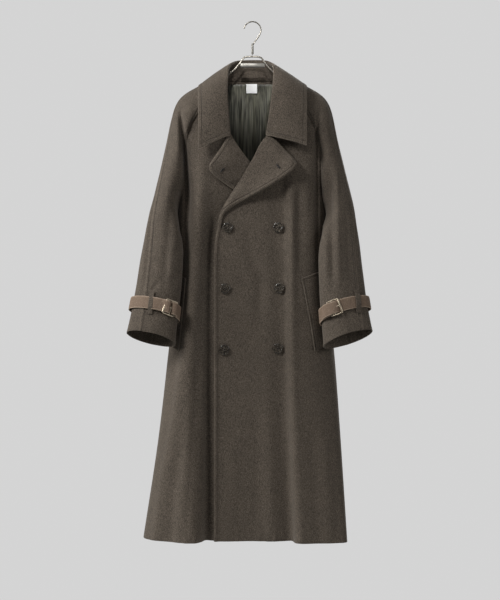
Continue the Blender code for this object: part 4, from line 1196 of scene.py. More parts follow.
COAT_WALL = 0.0022
COLLAR_WALL = 0.0026
WELT_WALL = 0.0026
LOOP_WALL = 0.0018
LINING_WALL = 0.0010
LABEL_WALL = 0.0010
FOLD = math.radians(62.0)
UNDERARM_BEND = math.radians(24.0)
BENT = 0.85
CREASE_LAYER = "crease_vert"
CORNER_CREASE = 0.9
LINE_STEP = 0.0015
STITCH_STEP = 0.002
ROW_CLEAR = 0.90
RIM_SHARE = 0.3
RIM_DEGREES = 60.0
CLOTH_DEGREES = 55.0
GROOVE_HALF = 0.0022
GROOVE_DEEP = 0.0007
PAD_OFF = 0.0042
PAD_HALF = 0.0032
PAD_RISE = 0.0005
PAD_REACH = 0.014
COLLAR_INSET = 0.0095
WELT_INSET = 0.006


@dataclass(frozen=True)
class SewnEdge:
    """A finished edge or seam, named by a point that it is the nearest one to.

    Attributes:
        probe: a point near the edge and near no other.
        inset: distance from the edge to its row of stitches.
        top: highest z of the part that is sewn.
        stitched: whether a row of stitches follows it.
    """

    probe: Point
    inset: float
    top: float = 9.0
    stitched: bool = True


@dataclass
class Cloth:
    """One cut piece of cloth, made on the shown side of its CAD node.

    Attributes:
        node: the CAD node whose form it takes.
        probe: a point outside the node, nearest to its shown side.
        wall: thickness of the cloth.
        flat: width and length of the cut, not used.
        area: area of the cut, not used.
        levels: how often the node's quads are split.
        creases: creases in it, and ripple its faint unevenness.
        dents: folds that it shares with its neighbours, pushed along Y.
        pulls: easing that it shares with its neighbours, pushed along X.
        seams: probes of the sides where creases fade out, over the width fade.
        edges: finished edges and sewn seams.
        slot: the finish that the record names.
        rests_on: what carries it, not used.
        post: how near to the wall's thickness an edge across the wall is.
        fold_limit: the bend that parts the shown side from the wall's other faces.
        corner: the turn of the rim from which a corner is sharp.
        bend: the turn of the rim from which it is half sharp.
        tree: the shaped cloth, for laying trim on it.
        rows: the rows of stitches along its edges.
    """

    node: str
    probe: Point
    wall: float
    flat: Tuple[float, float]
    area: float
    levels: int = 3
    creases: Tuple[Crease, ...] = ()
    dents: Tuple[Crease, ...] = ()
    pulls: Tuple[Crease, ...] = ()
    ripple: Ripple = Ripple()
    seams: Tuple[Point, ...] = ()
    fade: float = 0.016
    edges: Tuple[SewnEdge, ...] = ()
    slot: Slot = Slot.WOOL
    rests_on: Tuple[str, ...] = ("hanger_arms",)
    post: float = 2e-6
    fold_limit: float = math.pi
    corner: float = FOLD
    bend: float = FOLD
    tree: Optional[BVHTree] = None
    rows: List[Array] = field(default_factory=list)

    def shown_side(self, source: Piece) -> Mesh:
        """Copy the shown face of the CAD wall as quads.

        Args:
            source: the CAD node's object.

        Returns:
            A mesh of one layer that faces out.
        """
        shape = welded(source.data)
        posts = {edge for edge in shape.edges if abs(edge.calc_length() - self.wall) < self.post}
        left = {face for face in shape.faces if not posts.intersection(face.edges)}
        groups: List[List[bmesh.types.BMFace]] = []
        while left:
            group = [left.pop()]
            for face in group:
                for edge in face.edges:
                    bend = edge.calc_face_angle(0.0)
                    for other in edge.link_faces:
                        if other in left and bend < self.fold_limit:
                            left.remove(other)
                            group.append(other)
            groups.append(group)
        groups.sort(key=len, reverse=True)
        probe = Vector(self.probe)
        keep = set(min(groups[:2], key=lambda g: min((f.calc_center_median() - probe).length for f in g)))
        bmesh.ops.delete(shape, geom=[face for face in shape.faces if face not in keep], context="FACES")
        join_quads(shape)
        sharp = shape.verts.layers.float.new(CREASE_LAYER)
        for vert in shape.verts:
            rim = [edge.other_vert(vert).co - vert.co for edge in vert.link_edges if edge.is_boundary]
            turn = rim[0].angle(-rim[1]) if len(rim) == 2 else 0.0
            if turn > self.bend:
                vert[sharp] = BENT if turn < self.corner else 1.0
        return mesh_of(shape, self.node + "_cloth")

    def sides(self, mesh: Mesh) -> List[Array]:
        """Walk the rim of a one-layer mesh and cut it at the corners.

        Args:
            mesh: the one-layer mesh.

        Returns:
            The points of each side, in order.
        """
        shape = bmesh.new()
        shape.from_mesh(mesh)
        rim = {edge for edge in shape.edges if edge.is_boundary}
        sharp = shape.verts.layers.float[CREASE_LAYER]
        corners = [vert for vert in shape.verts if vert.is_boundary and vert[sharp] > CORNER_CREASE]
        start = corners[0]
        lines: List[List[Vector]] = [[start.co.copy()]]
        here, came = start, None
        while True:
            step = next(e for e in here.link_edges if e in rim and e is not came)
            here, came = step.other_vert(here), step
            lines[-1].append(here.co.copy())
            if here is start:
                break
            if here in corners:
                lines.append([here.co.copy()])
        shape.free()
        return [np.array(line) for line in lines]

    def side_near(self, sides: Sequence[Array], probe: Point) -> Array:
        """Pick the side with the point that is nearest to a probe."""
        return min(sides, key=lambda line: np.linalg.norm(line - np.array(probe), axis=1).min())

    def distance(self, points: Array, line: Array) -> Array:
        """Measure how far points are from a line, by the line's points taken close together.

        Args:
            points: the points.
            line: the line's points.

        Returns:
            The distance of each point.
        """
        dense = resample(line, LINE_STEP)
        tree = KDTree(len(dense))
        for order, spot in enumerate(dense):
            tree.insert(spot, order)
        tree.balance()
        return np.array([tree.find(p)[2] for p in points])

    def build(self, source: Piece, material: Material) -> None:
        """Make the cloth: split it finely, crease it, and give it its thickness.

        Args:
            source: the CAD node's object.
            material: the cloth's material.
        """
        mesh = self.shown_side(source)
        obj = new_object(self.node + "_cloth", mesh)
        split = obj.modifiers.new("split", "SUBSURF")
        split.levels = split.render_levels = self.levels
        split.boundary_smooth = "ALL"
        apply_modifiers(obj)
        self.shape(obj.data)
        thicken(obj, self.wall, -1.0).use_even_offset = True
        soften(obj, RIM_SHARE * self.wall, 2, RIM_DEGREES)
        dress(obj, material, CLOTH_DEGREES)
        hand_over(obj, self.slot, self.node)

    def crease(self, mesh: Mesh) -> None:
        """Crease a one-layer mesh, then push its shared folds and pulls.

        Args:
            mesh: the one-layer mesh.
        """
        points, normals = vertex_arrays(mesh)
        sides = self.sides(mesh)
        rise = self.ripple.rise(points)
        for crease in self.creases:
            rise += crease.rise(points[:, 0], points[:, 2])
        for probe in self.seams:
            rise *= ramp(self.distance(points, self.side_near(sides, probe)) / self.fade)
        points = points + normals * rise[:, None]
        for dent in self.dents:
            points[:, 1] += dent.rise(points[:, 0], points[:, 2])
        for pull in self.pulls:
            points[:, 0] += pull.rise(points[:, 0], points[:, 2])
        set_points(mesh, points)

    def shape(self, mesh: Mesh) -> None:
        """Crease a one-layer mesh, press its sewn edges and note the distances to them.

        Args:
            mesh: the one-layer mesh.
        """
        self.crease(mesh)
        points, normals = vertex_arrays(mesh)
        sides = self.sides(mesh)
        groove = np.ones(len(points))
        edge = np.ones(len(points))
        lines: List[Tuple[Array, float]] = []
        for sewn in self.edges:
            line = self.side_near(sides, sewn.probe)
            line = line[line[:, 2] < sewn.top]
            if any(np.array_equal(line, other) for other, _ in lines):
                continue
            gap = self.distance(points, line)
            edge = np.minimum(edge, gap)
            if sewn.stitched:
                groove = np.where(np.abs(gap - sewn.inset) < np.abs(groove), gap - sewn.inset, groove)
                lines.append((line, sewn.inset))
        pressed = np.exp(-(groove / GROOVE_HALF) ** 2)
        padded = np.exp(-((groove + PAD_OFF) / PAD_HALF) ** 2) * (edge < PAD_REACH)
        set_points(mesh, points + normals * (PAD_RISE * padded - GROOVE_DEEP * pressed)[:, None])
        self.tree = BVHTree.FromPolygons([v.co for v in mesh.vertices],
                                         [p.vertices[:] for p in mesh.polygons])
        for line, inset in lines:
            self.rows.append(self.stitch_row(line, inset, [other for other, _ in lines]))
        for name, values in (("groove", groove), ("edge", edge)):
            layer = mesh.attributes.new(name, "FLOAT", "POINT")
            layer.data.foreach_set("value", values.astype(np.float32))

    def stitch_row(self, line: Array, inset: float, others: Sequence[Array]) -> Array:
        """Find where a row of stitches runs beside an edge.

        Args:
            line: the edge's points.
            inset: distance of the row from the edge.
            others: all sewn edges of the piece, which the row also keeps its distance to.

        Returns:
            Points and normals of the row, six numbers each.
        """
        edge = resample(line, STITCH_STEP)
        along = unit(np.gradient(edge, axis=0))
        row = []
        for spot, way in zip(edge, along):
            near = self.tree.find_nearest(Vector(spot))
            side = np.cross(np.array(near[1]), way)
            found = [self.tree.find_nearest(Vector(spot + s * inset * side)) for s in (1.0, -1.0)]
            best = max(found, key=lambda hit: (hit[0] - Vector(spot)).length)
            row.append((*best[0], *best[1]))
        laid = np.array(row)
        clear = np.ones(len(laid), bool)
        for other in others:
            clear &= self.distance(laid[:, :3], other) > ROW_CLEAR * inset
        return laid[clear]


WELT_EDGES: Dict[Side, Tuple[Point, ...]] = {
    Side.LEFT: ((0.14, -0.071, -0.634), (0.136, -0.08, -0.731), (0.177, -0.052, -0.715)),
    Side.RIGHT: ((-0.167, -0.06, -0.636), (-0.161, -0.073, -0.731), (-0.193, -0.037, -0.719)),
}


@dataclass
class CoatCloth:
    """The coat's cut pieces, from the back to the small loops on the sleeves."""

    edge_inset: float = 0.0085
    seam_inset: float = 0.0065
    pieces: Dict[str, Cloth] = field(default_factory=dict)

    def body(self) -> List[Cloth]:
        """List the back, the two fronts, the lining and the label.

        Returns:
            The pieces, not yet made.
        """
        return [
            Cloth("back", (0.0, 1.0, -0.75), COAT_WALL, (0.60, 1.18), 0.52, creases=BACK_CREASES,
                  seams=((0.20, 0.0, -0.80),), dents=BACK_DENTS, pulls=BODY_PULLS, bend=UNDERARM_BEND),
            Cloth("front_left", (0.05, -1.0, -0.80), COAT_WALL, (0.42, 1.18), 0.34,
                  creases=FRONT_LEFT_CREASES, seams=((0.20, -0.02, -0.80),), dents=FRONT_DENTS,
                  pulls=BODY_PULLS, bend=UNDERARM_BEND,
                  edges=(SewnEdge((-0.09, -0.07, -0.90), self.edge_inset, -0.500),)),
            Cloth("front_right", (-0.15, -1.0, -0.80), COAT_WALL, (0.44, 1.18), 0.345,
                  creases=FRONT_RIGHT_CREASES, seams=((-0.20, -0.02, -0.80),), dents=FRONT_DENTS,
                  pulls=BODY_PULLS, bend=UNDERARM_BEND),
            Cloth("lining_back", (0.0, -1.0, -0.60), LINING_WALL, (0.52, 1.13), 0.44,
                  creases=LINING_CREASES, ripple=Ripple(0.0002), seams=((0.20, 0.0, -0.80),),
                  dents=BACK_CREASES + BACK_DENTS, slot=Slot.LINING, rests_on=("back",)),
            Cloth("neck_label", (0.0, -1.0, -0.16), LABEL_WALL, (0.028, 0.032), 0.00088,
                  ripple=Ripple(0.0003), slot=Slot.LABEL, rests_on=("lining_back",)),
        ]

    def sleeves(self, side: Side) -> List[Cloth]:
        """List one raglan sleeve's front and back pieces and its strap loop.

        Args:
            side: the wearer's side.

        Returns:
            The pieces, not yet made.
        """
        s = side.value
        over = (s * 0.222, -0.034, -0.36)
        cuff = (s * 0.22, -0.041, -0.67)
        made = []
        for part, toward, dents in (("front", -1.0, FRONT_DENTS), ("back", 1.0, BACK_DENTS)):
            name = f"sleeve_{side.word}_{part}"
            raglan = (s * 0.110, toward * 0.047, -0.20)
            made.append(Cloth(
                name, (s * 1.0, toward * 0.6, -0.60), COAT_WALL, (0.24, 0.82), 0.098,
                creases=SLEEVE_CREASES[name], seams=(over, raglan, cuff), fade=0.011, dents=dents,
                pulls=SLEEVE_PULLS, bend=UNDERARM_BEND,
                edges=(SewnEdge(over, self.seam_inset, stitched=part == "front"),
                       SewnEdge(raglan, self.seam_inset))))
        made.append(Cloth(
            f"strap_loop_{side.word}", (s * 1.0, -0.6, -0.70), LOOP_WALL, (0.0125, 0.060), 0.00074,
            ripple=Ripple(0.0002), rests_on=(f"strap_{side.word}",)))
        return made

    def collar(self) -> List[Cloth]:
        """List the collar and both lapels.

        Returns:
            The pieces, not yet made.
        """
        return [
            Cloth("collar", (0.0, 0.3, -0.12), COLLAR_WALL, (0.56, 0.19), 0.086, ripple=Ripple(0.0005),
                  edges=(SewnEdge((0.0, 0.08, -0.166), COLLAR_INSET),
                         SewnEdge((0.10, -0.08, -0.305), COLLAR_INSET),
                         SewnEdge((-0.10, -0.08, -0.312), COLLAR_INSET))),
            Cloth("lapel_left", (0.08, -1.0, -0.35), COAT_WALL, (0.19, 0.23), 0.0158, ripple=Ripple(0.0004),
                  creases=LAPEL_LEFT_CREASES, dents=LAPEL_LIFT, post=0.0, fold_limit=FOLD,
                  rests_on=("front_left",),
                  edges=(SewnEdge((0.075, -0.072, -0.322), COLLAR_INSET),
                         SewnEdge((0.03, -0.073, -0.42), COLLAR_INSET))),
            Cloth("lapel_right", (-0.08, -1.0, -0.35), COAT_WALL, (0.19, 0.23), 0.0162,
                  ripple=Ripple(0.0004), creases=LAPEL_RIGHT_CREASES,
                  dents=(replace(LAP_FOLD, height=-LAP_FOLD.height),), fold_limit=FOLD,
                  rests_on=("front_right",),
                  edges=(SewnEdge((-0.075, -0.070, -0.322), COLLAR_INSET),
                         SewnEdge((-0.03, -0.068, -0.42), COLLAR_INSET))),
        ]

    def pockets(self) -> List[Cloth]:
        """List the two pocket welts.

        Returns:
            The pieces, not yet made.
        """
        made = []
        for side, creases in ((Side.LEFT, FRONT_LEFT_CREASES), (Side.RIGHT, FRONT_RIGHT_CREASES)):
            made.append(Cloth(
                f"welt_{side.word}", (side.value * 0.3, -1.0, -0.72), WELT_WALL, (0.052, 0.185), 0.0093,
                creases=creases, dents=FRONT_DENTS, rests_on=(f"front_{side.word}",),
                edges=tuple(SewnEdge(spot, WELT_INSET) for spot in WELT_EDGES[side])))
        return made

    def build(self, nodes: Nodes, materials: Dict[Slot, Material]) -> None:
        """Make every cloth piece.

        Args:
            nodes: the CAD nodes by name.
            materials: the material of each cloth.
        """
        sleeves = self.sleeves(Side.LEFT) + self.sleeves(Side.RIGHT)
        for cloth in self.body() + sleeves + self.collar() + self.pockets():
            cloth.build(nodes[cloth.node], materials[cloth.slot])
            self.pieces[cloth.node] = cloth


# Trim


@dataclass
class Buttons:
    """Six dished horn buttons with four holes, each sewn on with a short thread shank."""

    radius: float = 0.0125
    thick: float = 0.0042
    rim: float = 0.0030
    slope: float = 0.0012
    dish: float = 0.0012
    back_step: float = 0.0008
    rounding: float = 0.0011
    hole: float = 0.0011
    cutter: float = 0.02
    spread: float = 0.0022
    stand: float = 0.0014
    thread: float = 0.00042
    loop_scale: Point = (1.0, 1.5, 0.42)
    shank: float = 1.4
    sunk: float = 0.001
    reach: float = 0.03
    turns: Tuple[float, ...] = (8.0, -14.0, 3.0, 21.0, -6.0, 12.0)

    def pattern(self) -> Piece:
        """Model one button round the origin, its face toward +Z.

        Returns:
            The button.
        """
        clear_selection()
        bpy.ops.mesh.primitive_cylinder_add(vertices=48, radius=self.radius, depth=self.thick)
        button = bpy.context.active_object
        with editing():
            select_faces(button, lambda normal: normal.z > FACING)
            bpy.ops.mesh.inset(thickness=self.rim, depth=0.0)
            bpy.ops.mesh.inset(thickness=self.slope, depth=-self.dish)
            select_faces(button, lambda normal: normal.z < -FACING)
            bpy.ops.mesh.inset(thickness=self.rim, depth=self.back_step)
        soften(button, self.rounding, 4, 50.0)
        cutters = []
        for x in (-self.spread, self.spread):
            for y in (-self.spread, self.spread):
                clear_selection()
                bpy.ops.mesh.primitive_cylinder_add(vertices=14, radius=self.hole, depth=self.cutter,
                                                    location=(x, y, 0.0))
                cutters.append(bpy.context.active_object)
        cutter = join(cutters, "button_holes")
        cut = button.modifiers.new("holes", "BOOLEAN")
        cut.operation = "DIFFERENCE"
        cut.solver = "EXACT"
        cut.object = cutter
        apply_modifiers(button)
        drop_object(cutter)
        return button

    def thread_pattern(self) -> Piece:
        """Model the two flat thread loops and the shank of one button.

        Returns:
            The thread.
        """
        loops = []
        for y in (-self.spread, self.spread):
            clear_selection()
            bpy.ops.mesh.primitive_torus_add(major_segments=20, minor_segments=8, major_radius=self.spread,
                                             minor_radius=self.thread, rotation=(QUARTER_TURN, 0.0, 0.0))
            loop = bpy.context.active_object
            bpy.ops.object.transform_apply(location=False, rotation=True, scale=False)
            floor = Matrix.Translation((0.0, y, 0.5 * self.thick - self.dish))
            settle(loop, floor @ Matrix.Diagonal((*self.loop_scale, 1.0)))
            loops.append(loop)
        clear_selection()
        bpy.ops.mesh.primitive_cylinder_add(vertices=14, radius=self.shank * self.spread,
                                            depth=self.stand + self.sunk,
                                            location=(0.0, 0.0, -0.5 * (self.thick + self.stand)))
        shank = bpy.context.active_object
        with editing():
            bpy.ops.mesh.select_all(action="SELECT")
            bpy.ops.mesh.subdivide(number_cuts=1)
        settle(shank, Matrix.Identity(4))
        return join(loops + [shank], "button_thread")

    def build(self, nodes: Nodes, cloth: Cloth, horn: Material,
              thread: Material) -> None:
        """Set a button and its thread at each button node.

        Args:
            nodes: the CAD nodes by name.
            cloth: the front that carries them.
            horn: the buttons' material.
            thread: the thread's material.
        """
        button = self.pattern()
        sewing = self.thread_pattern()
        threads = []
        for order, turn in enumerate(self.turns, 1):
            centre, _, _, out = frame_of(nodes[f"button_{order}"])
            out = -out if out.y > 0.0 else out
            hit = cloth.tree.ray_cast(centre + self.reach * out, -out)[0]
            place = turn_to(hit + out * (self.stand + 0.5 * self.thick), out, UP)
            place = place @ Matrix.Rotation(math.radians(turn), 4, "Z")
            made = copy_of(button, f"button_{order}_horn", place)
            dress(made, horn)
            hand_over(made, Slot.HORN, f"button_{order}")
            threads.append(copy_of(sewing, f"button_{order}_thread", place))
        drop_object(button)
        drop_object(sewing)
        sewn = join(threads, "button_threads")
        dress(sewn, thread)
        hand_over(sewn, Slot.WOOL)


@dataclass
class Ring:
    """The line of a sleeve strap, read from its CAD node's outer face."""

    upper: Array
    lower: Array
    out: Array

    @classmethod
    def along(cls, upper: Array, lower: Array) -> "Ring":
        """Make a closed ring from its two edges, turned so that it faces out.

        Args:
            upper: points of its upper edge.
            lower: points of its lower edge.

        Returns:
            The ring.
        """
        middle = 0.5 * (upper + lower)
        way = np.roll(middle, -1, 0) - np.roll(middle, 1, 0)
        out = unit(np.cross(lower - upper, way))
        if np.einsum("ij,ij->", out, middle - middle.mean(axis=0)) < 0.0:
            return cls.along(upper[::-1], lower[::-1])
        return cls(upper, lower, out)

    @classmethod
    def of(cls, node: Piece) -> "Ring":
        """Walk round a strap node's outer face.

        Args:
            node: the strap's CAD node, a closed band of four long faces.

        Returns:
            The ring of its upper and lower outer edges.
        """
        shape = welded(node.data)
        join_quads(shape)
        middle = sum((v.co for v in shape.verts), Vector()) / len(shape.verts)
        wide = max(shape.faces, key=lambda f: (f.calc_center_median() - middle).dot(f.normal))
        seen = {wide}
        face, pairs = wide, []
        while True:
            cross = [e for e in face.edges if abs((e.verts[0].co - e.verts[1].co).normalized().z) > STEEP]
            step = next((e for e in cross for f in e.link_faces if f not in seen), None)
            if step is None:
                break
            pairs.append(sorted((v.co.copy() for v in step.verts), key=lambda p: -p.z))
            face = next(f for f in step.link_faces if f not in seen)
            seen.add(face)
        last = next(e for e in cross if wide in e.link_faces)
        pairs.append(sorted((v.co.copy() for v in last.verts), key=lambda p: -p.z))
        shape.free()
        return cls.along(np.array([p[0] for p in pairs]), np.array([p[1] for p in pairs]))

    def finer(self, parts: int) -> "Ring":
        """Split each step of the ring smoothly into parts.

        Args:
            parts: how many parts a step gets.

        Returns:
            The finer ring.
        """
        made = []
        for line in (self.upper, self.lower):
            before, after, beyond = np.roll(line, 1, 0), np.roll(line, -1, 0), np.roll(line, -2, 0)
            rows = []
            for order in range(parts):
                t = order / parts
                rows.append(0.5 * (2.0 * line + (after - before) * t
                                   + (2.0 * before - 5.0 * line + 4.0 * after - beyond) * t * t
                                   + (3.0 * line - before - 3.0 * after + beyond) * t ** 3))
            made.append(np.stack(rows, axis=1).reshape(-1, 3))
        return Ring.along(made[0], made[1])

    def place_at(self, x: float) -> int:
        """Find the index of the step on the front side that is nearest to an x."""
        middle = 0.5 * (self.upper + self.lower)
        return int(np.argmin(np.abs(middle[:, 0] - x) + (self.out[:, 1] > 0.0)))

    def part(self, first: float, last: float, count: int) -> "Ring":
        """Cut the front stretch between two x out of the ring, in even steps.

        Args:
            first: x of one end.
            last: x of the other end.
            count: number of steps of the stretch.

        Returns:
            The stretch, in the ring's own order.
        """
        size = len(self.upper)
        one, two = self.place_at(first), self.place_at(last)
        if (two - one) % size > size // 2:
            one, two = two, one
        picked = [(one + k) % size for k in range((two - one) % size + 1)]
        wanted = np.linspace(0.0, len(picked) - 1.0, count)
        places = np.arange(len(picked))
        upper, lower, out = (read_at(wanted, places, line[picked])
                             for line in (self.upper, self.lower, self.out))
        return Ring(upper, lower, unit(out))

    def narrowed(self, share: float) -> "Ring":
        """Bring both edges in, to a share of the width."""
        spare = 0.5 * (1.0 - share) * (self.lower - self.upper)
        return Ring(self.upper + spare, self.lower - spare, self.out)


@dataclass(frozen=True)
class Tail:
    """A second layer of webbing over a stretch of a strap.

    Attributes:
        name: what it is.
        first: x of its end that is nearer the middle of the coat's front.
        last: x of its other end.
        lifts: how far its face stands off the strap's, from its smaller x to its larger.
        narrow: its width as a share of the strap's.
    """

    name: str
    first: float
    last: float
    lifts: Tuple[float, ...]
    narrow: float


TAILS: Dict[Side, Tuple[Tail, ...]] = {
    Side.LEFT: (
        Tail("tail", 0.1690, 0.2085,
             (0.0024, 0.0040, 0.0074, 0.0078, 0.0072, 0.0068, 0.0064, 0.0058, 0.0044, 0.0016), 0.95),
    ),
    Side.RIGHT: (
        Tail("layer", -0.2440, -0.2030,
             (0.0020, 0.0022, 0.0021, 0.0023, 0.0030, 0.0056, 0.0078, 0.0082), 0.95),
        Tail("roll", -0.1975, -0.1840,
             (0.0030, 0.0078, 0.0098, 0.0106, 0.0104, 0.0094, 0.0070, 0.0020), 0.92),
    ),
}


@dataclass
class Straps:
    """The webbing straps round the cuffs, each one band with its turned ends."""

    wall: float = 0.0018
    width: float = 0.032
    columns: int = 9
    crown: float = 0.0004
    wave: float = 0.0005
    waves: Span = (3.0, 7.0)
    shift: float = 0.6
    parts: int = 6
    steps: int = 25
    rounding: float = 0.0004
    degrees: float = 50.0

    def strip(self, name: str, ring: Ring, lift: Array, closed: bool) -> Tuple[Piece, float]:
        """Lay a strip of webbing along a ring.

        Args:
            name: the strip's name.
            ring: where it runs.
            lift: how far its face stands off the ring, step by step.
            closed: whether it goes all round.

        Returns:
            The strip and its length.
        """
        shares = np.linspace(0.0, 1.0, self.columns)
        rise = lift[:, None] + self.crown * (1.0 - (2.0 * shares - 1.0) ** 4)[None, :]
        grid = ring.upper[:, None] + (ring.lower - ring.upper)[:, None] * shares[None, :, None]
        grid = grid + ring.out[:, None] * rise[:, :, None]
        middle = grid[:, self.columns // 2]
        steps = np.linalg.norm(np.roll(middle, -1, 0) - middle, axis=1)
        along = np.concatenate(((0.0,), np.cumsum(steps)))
        faces, marks = [], []
        for i in range(len(grid) if closed else len(grid) - 1):
            k = (i + 1) % len(grid)
            for j in range(self.columns - 1):
                corners = ((i, i, j), (i, i, j + 1), (k, i + 1, j + 1), (k, i + 1, j))
                faces.append([row * self.columns + column for row, _, column in corners])
                marks.append([(along[step], shares[column]) for _, step, column in corners])
        mesh = bpy.data.meshes.new(name)
        mesh.from_pydata(grid.reshape(-1, 3).tolist(), [], faces)
        laid = mesh.uv_layers.new(name="strap")
        laid.data.foreach_set("uv", np.array(marks).reshape(-1))
        made = new_object(name, mesh)
        thicken(made, self.wall, -1.0)
        soften(made, self.rounding, 2, 60.0)
        return made, float(along[-1] if closed else along[-2])

    def tail(self, node: str, ring: Ring, tail: Tail, webbing: Material) -> None:
        """Make one turned end.

        Args:
            node: the strap's CAD node.
            ring: the strap's line.
            tail: the turned end.
            webbing: its material.
        """
        over = ring.part(tail.first, tail.last, self.steps).narrowed(tail.narrow)
        lifts = tail.lifts if over.upper[0, 0] < over.upper[-1, 0] else tail.lifts[::-1]
        lift = np.interp(np.linspace(0.0, 1.0, self.steps), np.linspace(0.0, 1.0, len(lifts)), lifts)
        layer, length = self.strip(f"{node}_{tail.name}", over, lift, False)
        dress(layer, webbing, self.degrees)
        hand_over(layer, Slot.WEBBING)

    def build(self, nodes: Nodes, webbing: Material) -> None:
        """Make both straps with their turned ends.

        Args:
            nodes: the CAD nodes by name.
            webbing: the straps' material.
        """
        for side in Side:
            node = f"strap_{side.word}"
            ring = Ring.of(nodes[node]).finer(self.parts)
            turn = np.linspace(0.0, 2.0 * math.pi, len(ring.upper), endpoint=False)
            slow, quick = self.waves
            lift = self.wave * 0.5 * (np.sin(slow * turn + self.shift) + np.sin(quick * turn))
            band, length = self.strip(f"{node}_webbing", ring, lift, True)
            dress(band, webbing, self.degrees)
            hand_over(band, Slot.WEBBING, node)
            f"sleeve_{side.word}_front"
            for tail in TAILS[side]:
                self.tail(node, ring, tail, webbing)


@dataclass
class Buckles:
    """Pale metal strap buckles: a frame with a roller, a middle bar and a prong."""

    half_long: float = 0.0155
    half_tall: float = 0.0192
    corner: float = 0.0036
    bar: float = 0.0026
    thick: float = 0.0028
    rounding: float = 0.0010
    roller: float = 0.0026
    play: float = 0.0006
    rib: float = 0.0014
    rib_back: float = 0.2
    rib_sunk: float = 0.6
    pin: float = 0.0013
    pin_over: float = 0.003
    pin_lift: float = 0.0016
    tip: Span = (0.3, 0.25)
    tip_round: float = 0.2

    def rod(self, length: float, radius: float) -> Piece:
        """Model a round-ended rod along Y at the origin.

        Args:
            length: its length.
            radius: its radius.

        Returns:
            The rod.
        """
        clear_selection()
        bpy.ops.mesh.primitive_cylinder_add(vertices=20, radius=radius, depth=length,
                                            rotation=(QUARTER_TURN, 0.0, 0.0))
        made = bpy.context.active_object
        bpy.ops.object.transform_apply(location=False, rotation=True, scale=False)
        with editing():
            inset_ends(made, 1, self.tip[0] * radius, self.tip[1] * radius)
        soften(made, self.tip_round * radius, 2)
        return made

    def frame(self) -> Piece:
        """Model the frame round the origin.

        Returns:
            The frame.
        """
        clear_selection()
        bpy.ops.mesh.primitive_plane_add(size=2.0)
        made = bpy.context.active_object
        settle(made, Matrix.Diagonal((self.half_long, self.half_tall, 1.0, 1.0)))
        with editing("VERT"):
            bpy.ops.mesh.select_all(action="SELECT")
            bpy.ops.mesh.bevel(offset=self.corner, segments=5, affect="VERTICES")
            bpy.ops.mesh.select_mode(type="FACE")
            bpy.ops.mesh.select_all(action="SELECT")
            bpy.ops.mesh.inset(thickness=self.bar)
            bpy.ops.mesh.delete(type="FACE")
        thicken(made, self.thick, 0.0)
        soften(made, self.rounding)
        return made

    def pattern(self) -> Piece:
        """Model one buckle round the origin, its face toward +Z and its roller toward +X.

        Returns:
            The buckle.
        """
        frame = self.frame()
        outer = self.half_long - 0.5 * self.bar
        inner = self.rib_back * self.half_long
        roller = self.rod(2.0 * (self.half_tall - self.bar - self.play), self.roller)
        settle(roller, Matrix.Translation((outer, 0.0, 0.0)))
        rib = self.rod(2.0 * (self.half_tall - self.rib_sunk * self.bar), self.rib)
        settle(rib, Matrix.Translation((-inner, 0.0, 0.0)))
        prong = self.rod(outer + inner + self.pin_over, self.pin)
        reach = Matrix.Translation((0.5 * (outer - inner), 0.0, self.pin_lift))
        settle(prong, reach @ Matrix.Rotation(QUARTER_TURN, 4, "Z"))
        return join([frame, roller, rib, prong], "buckle_pattern")

    def build(self, nodes: Nodes, metal: Material) -> None:
        """Set a buckle at each buckle node, its roller toward the sleeve's outer side.

        Args:
            nodes: the CAD nodes by name.
            metal: the buckles' material.
        """
        pattern = self.pattern()
        for side in Side:
            centre, tall, _, out = frame_of(nodes[f"buckle_{side.word}"])
            tall = tall if tall.z > 0.0 else -tall
            out = out if out.y < 0.0 else -out
            turn = 0.0 if side is Side.LEFT else math.pi
            made = copy_of(pattern, f"buckle_{side.word}_metal",
                           turn_to(centre, out, tall) @ Matrix.Rotation(turn, 4, "Z"))
            dress(made, metal)
            hand_over(made, Slot.BUCKLE, f"buckle_{side.word}")
        drop_object(pattern)


